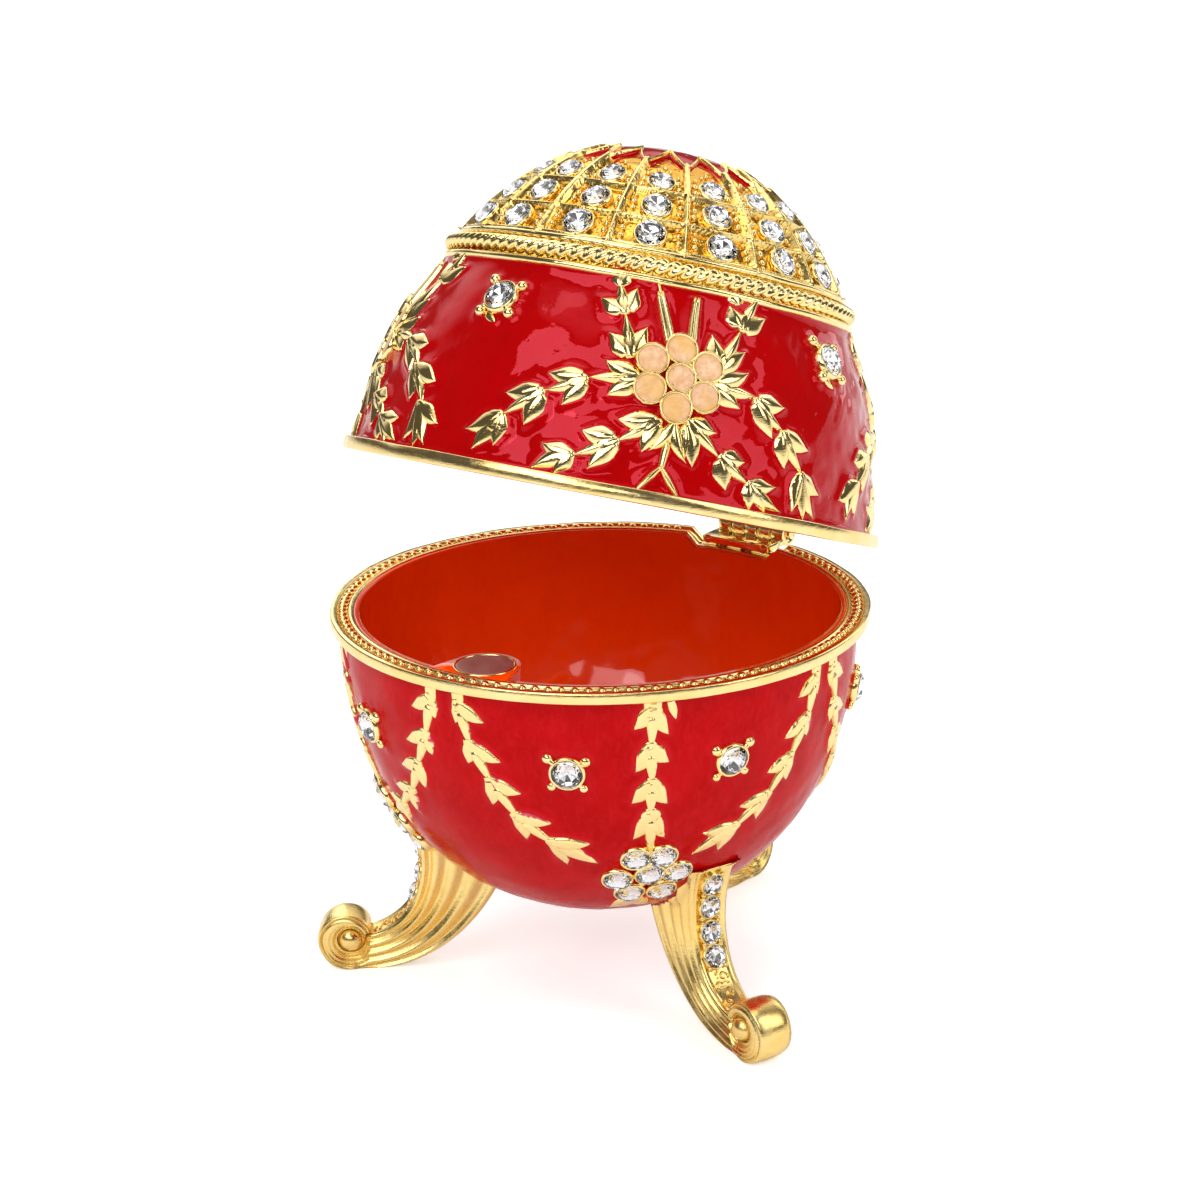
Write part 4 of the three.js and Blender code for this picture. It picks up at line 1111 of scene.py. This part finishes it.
def spray(base, tips, w, h=H_L, bulb=None, bend=0.1):
    """several pointed lobes from one root"""
    R0 = float(LID.radius(base[1]))
    m = np.mean([chart(LID, base, t) for t in tips], 0)
    if bulb:
        d = m / np.hypot(*m)
        LR.lobe((base[0] - d[0] * 0.2 / R0, base[1] - d[1] * 0.2), (base[0] + d[0] * bulb[0] / R0, base[1] + d[1] * bulb[0]), bulb[1], h * 0.98, 0, "round",
                wb=0.35, we=0.5, peak=0.55, h_tip=0.9, taper=2.2)
    for t in tips:
        T = chart(LID, base, t)
        cr = m[0] * T[1] - m[1] * T[0]
        LR.lobe(base, t, w * (0.93 + 0.14 * rng.random()), h * (0.95 + 0.15 * rng.random()), (1 if cr > 0 else -1) * bend, "ridge", n=12, m=9,
                wb=0.5, we=0.03, peak=0.42, h_tip=0.45, taper=1.4)


for u in UNITS_LID:
    P = rel(LID, u)
    # upper garlands, toward the cord
    tulip(P(8.2, 12.25), P(6.6, 15.2), P(15.4, 14.3), P(14.0, 15.95))
    tulip(P(14.5, 16.13), P(11.3, 18.0), P(22.3, 17.6), P(19.9, 19.2), w=1.02)
    spray(P(13.4, 18.35), [P(10.9, 19.35), P(15.0, 19.4)], 0.75, 0.5, bulb=(0.8, 0.75))
    tulip(P(-11.6, 12.05), P(-17.4, 13.7), P(-8.9, 14.75), P(-14.6, 15.45))
    tulip(P(-14.9, 15.59), P(-21.6, 16.5), P(-13.1, 18.0), P(-17.8, 18.2), w=1.02)
    spray(P(-17.6, 17.95), [P(-19.8, 19.3), P(-15.6, 19.35)], 0.85, 0.5, bulb=(0.9, 0.85))
    # middle garlands, sideways
    tulip(P(7.6, 10.86), P(16.2, 12.6), P(14.4, 9.4), P(18.3, 10.6))
    tulip(P(18.2, 10.36), P(26.2, 10.3), P(23.1, 7.5), P(25.4, 8.35))
    tulip(P(25.6, 8.1), P(33.8, 7.1), P(26.9, 5.2), P(31.4, 5.3))
    spray(P(31.4, 5.0), [P(29.7, 1.7), P(38.3, 3.5), P(36.4, 1.5), P(33.2, 1.2)], 0.95, H_L, bulb=(1.5, 1.2))
    tulip(P(-8.9, 10.30), P(-16.8, 11.35), P(-15.0, 8.4), P(-18.9, 9.65))
    tulip(P(-20.0, 9.44), P(-28.6, 9.45), P(-23.9, 6.9), P(-27.8, 8.0))
    tulip(P(-28.6, 7.75), P(-36.9, 7.15), P(-30.9, 4.7), P(-35.4, 5.45))
    spray(P(-36.0, 5.25), [P(-44.0, 3.5), P(-41.0, 1.9), P(-36.3, 2.5)], 1.05, H_L, bulb=(1.7, 1.35))
    # lower garlands, toward the rim
    tulip(P(3.0, 7.5), P(9.5, 7.0), P(5.2, 3.8), P(10.3, 5.15))
    tulip(P(11.0, 5.08), P(16.8, 5.05), P(13.0, 2.4), P(17.5, 3.4))
    spray(P(18.0, 3.35), [P(25.2, 3.5), P(26.8, 1.45), P(22.8, 1.1), P(18.8, 1.1)], 0.85, H_L, bulb=(1.5, 1.1))
    tulip(P(-3.2, 7.0), P(-11.8, 6.65), P(-5.7, 4.25), P(-10.9, 4.85))
    tulip(P(-11.1, 4.8), P(-18.7, 5.2), P(-15.9, 2.0), P(-18.9, 3.0))
    spray(P(-19.3, 3.0), [P(-26.4, 3.5), P(-27.4, 1.2), P(-22.3, 1.05)], 0.9, H_L, bulb=(1.5, 1.1))
    # small fan under the flower, the forked twig and two bars
    spray(P(0.1, 7.35), [P(-4.4, 4.5), P(3.9, 4.0), P(-1.6, 5.4)], 0.7, 0.6, bend=0.18)
    spray(P(2.2, 7.3), [P(3.2, 4.2), P(6.3, 5.2)], 0.6, 0.55, bend=0.14)
    LR.lobe(P(-0.6, 5.6), P(-1.2, 3.0), 0.42, 0.5, 0, "ridge", wb=0.5, we=0.75, peak=0.3, h_tip=0.9)
    LR.lobe(P(-1.2, 3.35), P(-5.6, 1.0), 0.36, 0.5, 0, "ridge", wb=0.6, we=0.5, peak=0.4, h_tip=0.8)
    LR.lobe(P(-1.2, 3.35), P(3.3, 0.95), 0.36, 0.5, 0, "ridge", wb=0.6, we=0.5, peak=0.4, h_tip=0.8)
    LR.lobe(P(-2.6, 13.0), P(-7.0, 17.95), 0.52, 0.62, 0, "groove", wb=0.8, we=0.75, peak=0.3, h_tip=0.95, m=11)
    LR.lobe(P(-6.9, 17.75), P(-8.3, 18.9), 0.2, 0.35, 0, "round", wb=1, we=0.6, h_tip=0.8)
    LR.lobe(P(1.6, 13.0), P(2.3, 18.05), 0.5, 0.62, 0, "groove", wb=0.8, we=0.75, peak=0.3, h_tip=0.95, m=11)
    # flower of seven cups
    for k, (d, dt) in enumerate([(0, 0), (-.6, 2.4), (-6.7, 1.15), (-6.3, -1.3), (-.2, -2.5), (5.6, -1.2), (5.8, 1.3)]):
        q = P(d, 10.9 + dt)
        c, n = LID.at(q[0], q[1], 0.0), LID.out(*q)
        ro = 1.42 if k else 1.34
        turned(lcup, [[ro - 0.5, -0.5], [ro + 0.03, -0.5], [ro + 0.05, 0.5], [ro + 0.02, 0.74], [ro - 0.06, 0.80], [ro - 0.15, 0.75], [ro - 0.2, 0.5], [ro - 0.5, 0.4]], c, n, 34)
        R = ro - 0.14
        turned(lpeach, [[0, 0.70], [R * .35, 0.70], [R * .7, 0.665], [R * .9, 0.63], [R * .99, 0.60], [R, 0.2], [0, 0.1]], c, n, 30, closed=False)
        LR.ring_edge(q[0], q[1], ro + 0.02)
        if k:
            b = P(d * 0.52, 10.9 + dt * 0.52)
            ball(lcup, LID.at(b[0] + 0.03, b[1], 0.32), 0.5, LID.out(*b), 0.7)
    # four-claw stone between two units
    q = rel(LID, u)(-46.9 + 90, 15.1)
    Rr = float(LID.radius(q[1]))
    c, n = LID.at(q[0], q[1], 0.0), LID.out(*q)
    turned(lclaw, [[1.0, -0.4], [1.62, -0.4], [1.68, 0.3], [1.6, 0.72], [1.47, 0.8], [1.34, 0.64], [1.3, 0.2], [0.9, 0.1]], c, n, 36)
    stone(lclaw_stones, c + n * 0.74, n, 1.4, rng, foil=lclaw_foil, depth=0.45)
    LR.ring_edge(q[0], q[1], 1.68)
    for dx, dy in ((-1.93, 1.9), (1.6, 1.5), (-1.5, -1.7), (1.64, -1.55)):
        ph, S = q[0] + dx * 0.93 / Rr, q[1] + dy * 0.93
        o = LID.out(ph, S)
        b = LID.at(ph, S, 0.36)
        ball(lclaw, b, 0.52, o, 0.95, 14, 9)
        inner = LID.at(q[0] + dx * 0.62 / Rr, q[1] + dy * 0.62, 0.62)
        tube(lclaw, np.linspace(b, inner, 4), [0.34, 0.30, 0.28, 0.22], 8, up=o)
        LR.ring_edge(ph, S, 0.5, 12)
    LR.lobe((q[0] - 0.9 / Rr, q[1] - 1.5), (q[0] + 0.5 / Rr, q[1] - 2.35), 0.42, 0.35, 0.1, "round", wb=0.5, we=0.4)

part = Part()
S_lo, S_hi = float(LID.s_of(1.2)), float(LID.s_of(18.75))
enamel_sheet(part, LID,
             lambda ph: LID.s_of(np.maximum(0.95, notch_depth(ph) + 0.12)),
             lambda ph: np.full(len(ph), float(LID.s_of(19.4))),
             np.vstack(LR.edge), int(590 * q_), int(150 * q_),
             lambda p: lid_wav(p) + 0.35 * fine_wav(p), 0.075, 0.26, 0.34,
             band_edge=lambda PH, S: np.minimum(np.abs(S - S_lo), np.abs(S - S_hi)) + 0.05)
part.build("lid_enamel", "lid", [RED_LID], "red_enamel", ["lid"])
LR.part.build("lid_leaves", "lid", [GOLD_BRIGHT], "gold_plate")
lcup.build("lid_flower_cups", "lid", [GOLD_BRIGHT], "gold_plate")
lpeach.build("lid_flower_fill", "lid", [PEACH])
lclaw.build("lid_claws", "lid", [GOLD_BRIGHT], "gold_plate")
lclaw_stones.build("lid_claw_stones", "lid", [CRYSTAL], "crystal", ["stone_lid_%d" % i for i in range(1, 5)])
lclaw_foil.build("lid_claw_foils", "lid", [FOIL], "nickel")

part = Part()
rim_ring(part, [(24.1, -1.14, 0), (24.66, -1.2, .6), (24.9, -1.19, 1), (24.97, -1.12, 1), (25.02, -0.62, 1), (25.01, -0.13, 1), (24.95, -0.03, 1), (24.82, 0.0, .6),
                (24.5, 0.02, .2), (24.30, 0.0, 0), (23.8, 0.0, 0), (23.3, 0.0, 0), (22.95, -0.0, .2), (22.84, -0.05, .3), (22.74, -0.18, .3), (22.70, -0.6, 0),
                (22.9, -0.8, 0), (23.5, -0.9, 0)], 1, wob=0.05, seed=4, thick=1.2)
part.build("lid_rim", "lid", [GOLD_RIM], "gold_plate")
lining(LID_IN, 1, "lid_lining", "lid", lambda p: in_wav(p) + 0.25 * fine_wav(p), 0.075, [LACQUER], int(300 * q_), int(80 * q_))
magnet(1, "lid", "magnet_upper", "magnet_lid")
hinge_leaf(1).build("hinge_upper", "lid", [GOLD_BRIGHT], "gold_plate", ["hinge_leaf_lid"])

# ---------------------------------------------------------------- cords round the crown
part = Part()


def hoop(part, t, lift, r, nphi=360, n=10, wob=0.03, seed=7):
    phi = np.arange(int(nphi * q_)) * 2 * math.pi / int(nphi * q_)
    S = float(LID.s_of(t))
    w = waves(seed, 5, 9, 10)
    path = LID.at(phi, S + wob * w(LID.at(phi, S)), lift)
    tube(part, path, r, n, closed=True)


def rope(part, t, lift, turns, r0, r1, nphi, n=14):
    nphi = int(nphi * q_)
    phi = np.arange(nphi) * 2 * math.pi / nphi
    S = float(LID.s_of(t))
    c = LID.at(phi, S, lift)
    o = LID.out(phi, np.full(nphi, S))
    up = np.cross(np.stack([-np.sin(phi), np.cos(phi), 0 * phi], -1), o)
    a = np.arange(n) * 2 * math.pi / n
    th = a[None] - turns * phi[:, None]
    r = r0 + r1 * (0.5 + 0.5 * np.cos(3 * th)) ** 0.62
    P = c[:, None] + r[..., None] * (np.cos(a)[None, :, None] * o[:, None] + np.sin(a)[None, :, None] * up[:, None])
    part.rings(P, wrap_r=True)


nb = int(360 * q_)
ph_ = np.arange(nb) * 2 * math.pi / nb
prof_ = [(18.85, -0.45), (18.85, 0.10), (19.3, 0.06), (20.1, 0.04), (21.0, 0.06), (21.5, 0.08), (21.5, -0.45)]
part.rings(np.array([LID.at(ph_, float(LID.s_of(t_)), l_) for t_, l_ in prof_]), wrap_r=True)
hoop(part, 18.98, 0.16, 0.36)
hoop(part, 21.28, 0.20, 0.33, seed=8)
rope(part, 20.12, 0.26, -35, 0.46, 0.32, 1100, 21)
part.build("lid_cords", "lid", [GOLD_BRIGHT], "gold_plate")

# ---------------------------------------------------------------- crown: cells, gables and stones
NC = 16
CELL0 = 8.5 * RAD
ROWS = [21.75, 24.35, 27.1, 29.6]
DP = 2 * math.pi / NC


def gable(phi):
    """height t of the gable's upper edge over each cell"""
    u = ((phi - CELL0) / DP + 0.5) % 1 - 0.5            # -0.5..0.5 across a cell
    return 31.2 - 1.55 * (np.abs(u) * 2) ** 1.1


sub = int(26 * q_)
ncol = NC * sub
phi = np.arange(ncol) * 2 * math.pi / ncol
u = ((phi - CELL0) / DP + 0.5) % 1 - 0.5
S_b, S_t = float(LID.s_of(21.2)), LID.s_of(gable(phi) + 0.28)
nr = int(92 * q_)
f = np.linspace(0, 1, nr)[:, None]
S = S_b + (S_t[None] - S_b) * f
PH = np.broadcast_to(phi, S.shape)
Rr = LID.radius(S)
dx = (0.5 - np.abs(u))[None] * DP * Rr                  # distance to the nearest rib
rib = 0.85 * np.exp(-(dx / 0.27) ** 6)
bands = sum(0.62 * np.exp(-((S - float(LID.s_of(t))) / 0.22) ** 6) for t in ROWS[:3])
bands = bands + 0.62 * np.exp(-((S - S_t[None] + 0.26) / 0.24) ** 4)
cw = waves(31, 0.9, 2.4)
pw = LID.at(PH, S)
low = 0.05 * cw(pw)
H = np.maximum(rib, np.minimum(bands, 0.62))
H = H + low * np.clip(1 - H / 0.3, 0.2, 1) + 0.02
CD = 0.38                                              # depth of the cells under the lid's surface
outer = LID.at(PH, S, H - CD * sstep(S - S_b, 0, 0.3))
back = LID.at(np.broadcast_to(phi, (4, ncol)), np.linspace(1, 0, 4)[:, None] * (S_t[None] - S_b) + S_b, -0.75)
part = Part()
# mark: the height over the cell floor, which sets the painted shade in the cell recesses
part.rings(np.vstack([outer, back]), wrap_r=True, tag=np.vstack([np.clip(H / 0.5, 0, 1), np.zeros((4, ncol))]))
part.build("crown_cells", "lid", [GOLD_CELL], "gold_plate")

collets, crown_stones, crown_foil, grains = Part(), Part(), Part(), Part()
for row, (ta, tb) in enumerate(zip(ROWS[:3], ROWS[1:])):
    tc = (ta + tb) / 2 - (0.05 if row < 2 else 0.25)
    Sc = float(LID.s_of(tc))
    half_h = (float(LID.s_of(tb)) - float(LID.s_of(ta))) / 2
    half_w = DP * float(LID.radius(Sc)) / 2
    rs = [1.32, 1.28, 1.16][row]
    for k in range(NC):
        ph = CELL0 + k * DP + rng.normal() * 0.006
        Sk = Sc + rng.normal() * 0.06
        c, n = LID.at(ph, Sk, -CD), LID.out(ph, Sk)
        turned(collets, [[rs - 0.35, -0.3], [rs + 0.16, -0.3], [rs + 0.19, 0.30], [rs + 0.14, 0.46], [rs + 0.04, 0.50], [rs - 0.04, 0.42], [rs - 0.06, 0.1], [rs - 0.35, 0.0]], c, n, 28)
        stone(crown_stones, c + n * 0.60, n, rs * 1.0, rng, foil=crown_foil, depth=0.34)
        Rk = float(LID.radius(Sk))
        for sx in (-1, 1):
            for sy in (-1, 1):
                for x, y, br in ((half_w - 0.72, 0.42, 0.33), (half_w - 0.78, half_h - 0.52, 0.22)):
                    if row == 2 and (x > half_w - 0.7 and sy > 0 and y > 0.5):
                        x = x - 0.35
                    X, Y = sx * x + rng.normal() * 0.04, sy * y + rng.normal() * 0.04
                    if math.hypot(X, Y) < rs + 0.18 + br * 0.7:
                        sc = (rs + 0.2 + br * 0.7) / math.hypot(X, Y)
                        X, Y = X * sc, Y * sc
                    if abs(X) > half_w - 0.40 or abs(Y) > half_h - 0.28:
                        continue
                    a, s_ = ph + X / Rk, Sk + Y
                    ball(grains, LID.at(a, s_, 0.12 - CD), br * (0.92 + 0.16 * rng.random()), LID.out(a, s_), 1.0, 8, 6)
    if row == 2:
        for k in range(NC):
            ph = CELL0 + k * DP
            for X, Y, br in ((0, half_h + 0.72, 0.24), (-0.55, half_h + 0.25, 0.2), (0.55, half_h + 0.25, 0.2)):
                Rk = float(LID.radius(Sc + Y))
                a = ph + X / Rk
                ball(grains, LID.at(a, Sc + Y, 0.1 - CD), br, LID.out(a, Sc + Y), 1.0, 8, 6)
collets.build("crown_collets", "lid", [GOLD_BRIGHT], "gold_plate")
grains.build("crown_grains", "lid", [GOLD_BRIGHT], "gold_plate")
crown_stones.build("crown_stones", "lid", [CRYSTAL], "crystal")
crown_foil.build("crown_foils", "lid", [FOIL], "nickel")

# enamelled dome inside the gables
nphi = int(256 * q_)
phi = np.arange(nphi) * 2 * math.pi / nphi
S0 = LID.s_of(gable(phi) - 0.05)
nr = int(40 * q_)
f = (np.linspace(0, 1, nr) ** 0.8)[:, None]
S = S0[None] + (LID.top - 0.02 - S0[None]) * f
PH = np.broadcast_to(phi, S.shape)
base = LID.at(PH, S)
dd = S - S0[None]
cap_wav = waves(41, 2.5, 6.0)
h = -0.16 + 0.05 * cap_wav(base) + 0.16 * np.exp(-np.clip(dd - 0.15, 0, None) / 0.35)
outer = LID.at(PH, S, h)
bk = LID.at(np.broadcast_to(phi, (5, nphi)), np.linspace(1, 0, 5)[:, None] * (LID.top - 0.02 - S0[None]) + S0[None], -0.7)
part = Part()
part.rings(np.vstack([outer, bk]), wrap_r=True, tag=np.vstack([0.5 * np.exp(-(dd / 0.4) ** 2), np.zeros((5, nphi))]))
part.build("crown_dome", "lid", [RED_LID], "red_enamel")

# ================================================================ FLOOR, LIGHT, CAMERA
bpy.ops.mesh.primitive_plane_add(size=6.0, location=(0, 0, 0))
floor = bpy.context.object
floor.name = "floor"
fm, nt, b = material("studio_floor")
b.inputs["Base Color"].default_value = (0.86, 0.86, 0.86, 1)
b.inputs["Roughness"].default_value = 0.9
b.inputs["Emission Color"].default_value = (1, 1, 1, 1)
flp = node(nt, "ShaderNodeLightPath")
nt.links.new(math_node(nt, "MULTIPLY", flp.outputs["Is Camera Ray"], 0.4), b.inputs["Emission Strength"])
floor.data.materials.append(fm)


def area(name, loc, target, sx, sy, radiance, colour=(1, 1, 1)):
    L = bpy.data.lights.new(name, "AREA")
    L.shape = "RECTANGLE"
    L.size, L.size_y = sx, sy
    L.energy = radiance * math.pi * sx * sy
    L.color = colour
    o = bpy.data.objects.new(name, L)
    loc, target = Vector(loc), Vector(target)
    o.location = loc
    o.rotation_euler = (loc - target).to_track_quat("Z", "Y").to_euler()
    o.visible_camera = False
    bpy.context.scene.collection.objects.link(o)
    return o


TGT = Vector((-0.000582, -0.001675, 0.0366))
AZ, EL, ROLL, DIST = 35.9 * RAD, 18.59 * RAD, -0.865 * RAD, 0.26618
back = Vector((math.sin(AZ) * math.cos(EL), -math.cos(AZ) * math.cos(EL), math.sin(EL)))
right = Vector((math.cos(AZ), math.sin(AZ), 0))
up = back.cross(right)
X = right * math.cos(ROLL) + up * math.sin(ROLL)
Y = -right * math.sin(ROLL) + up * math.cos(ROLL)


def rel_cam(r, b_, z):
    """a place given along the camera's right, toward the camera and up, from the egg's middle (m)"""
    fwd = Vector((back.x, back.y, 0)).normalized()
    return TGT + right * r + fwd * b_ + Vector((0, 0, z))


def from_cam(az, el, dist):
    """a place by azimuth from the camera's side (+ right), elevation and distance (m)"""
    return rel_cam(dist * math.cos(el * RAD) * math.sin(az * RAD), dist * math.cos(el * RAD) * math.cos(az * RAD), dist * math.sin(el * RAD))


lights = [
    area("key_softbox", from_cam(-38, 46, 0.75), TGT, 0.46, 0.46, 2.8),
    area("right_softbox", from_cam(66, 34, 0.72), TGT, 0.34, 0.56, 2.1),
    area("top_softbox", from_cam(180, 74, 0.8), TGT, 0.6, 0.6, 1.1),
    area("front_softbox", from_cam(-6, 31, 0.8), TGT, 0.5, 0.2, 2.8),
    area("back_strip_left", from_cam(-160, 24, 0.7), TGT, 0.25, 0.5, 1.2),
    area("back_strip_right", from_cam(135, 20, 0.7), TGT, 0.25, 0.5, 1.2),
]

# the room: white behind the object and to the camera, and a dark half in front of it with the softboxes in it
world = bpy.data.worlds.new("studio_world")
bpy.context.scene.world = world
world.use_nodes = True
nt = world.node_tree
nt.nodes.clear()
out = node(nt, "ShaderNodeOutputWorld")
bg1 = node(nt, "ShaderNodeBackground")
bg1.inputs["Color"].default_value = (1, 1, 1, 1)
bg2 = node(nt, "ShaderNodeBackground")
bg3 = node(nt, "ShaderNodeBackground")
bg3.inputs["Color"].default_value = (1, 1, 1, 1)
bg3.inputs["Strength"].default_value = 0.75
tc = node(nt, "ShaderNodeTexCoord")
sep = node(nt, "ShaderNodeSeparateXYZ")
nt.links.new(tc.outputs["Generated"], sep.inputs[0])
dot = node(nt, "ShaderNodeVectorMath", operation="DOT_PRODUCT")
nt.links.new(tc.outputs["Generated"], dot.inputs[0])
dot.inputs[1].default_value = Vector((back.x, back.y, 0)).normalized()
side = rng_map(nt, dot.outputs["Value"], -0.6, -0.3, 0, 1)
above = rng_map(nt, sep.outputs["Z"], -0.02, 0.06, 0, 1)
below = rng_map(nt, sep.outputs["Z"], 0.90, 0.98, 1, 0)
low_back = rng_map(nt, sep.outputs["Z"], 0.30, 0.42, 1, 0)
zone = math_node(nt, "MAXIMUM", math_node(nt, "MULTIPLY", side, below), low_back)
dark = math_node(nt, "MULTIPLY", zone, above)
nt.links.new(mix(nt, dark, (0.98, 0.97, 0.96), (0.09, 0.085, 0.08)), bg2.inputs["Color"])
lp = node(nt, "ShaderNodeLightPath")
mx = node(nt, "ShaderNodeMixShader")
mx2 = node(nt, "ShaderNodeMixShader")
nt.links.new(lp.outputs["Is Camera Ray"], mx.inputs[0])
nt.links.new(bg3.outputs[0], mx.inputs[1])
nt.links.new(bg1.outputs[0], mx.inputs[2])
both = math_node(nt, "MAXIMUM", lp.outputs["Is Glossy Ray"], lp.outputs["Is Transmission Ray"])
nt.links.new(both, mx2.inputs[0])
nt.links.new(mx.outputs[0], mx2.inputs[1])
nt.links.new(bg2.outputs[0], mx2.inputs[2])
nt.links.new(mx2.outputs[0], out.inputs["Surface"])

cam_data = bpy.data.cameras.new("camera")
cam = bpy.data.objects.new("camera", cam_data)
bpy.context.scene.collection.objects.link(cam)
cam_data.sensor_width = 36.0
cam_data.lens = 86.06
cam_data.clip_start, cam_data.clip_end = 0.01, 20
cam.matrix_world = Matrix(((X.x, Y.x, back.x, 0), (X.y, Y.y, back.y, 0), (X.z, Y.z, back.z, 0), (0, 0, 0, 1)))
cam.location = TGT + back * DIST
bpy.context.scene.camera = cam

sc = bpy.context.scene
sc.view_settings.view_transform = "Standard"
sc.view_settings.look = "None"
sc.view_settings.exposure = 0.0
sc.view_settings.gamma = 1.0

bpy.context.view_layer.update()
import json
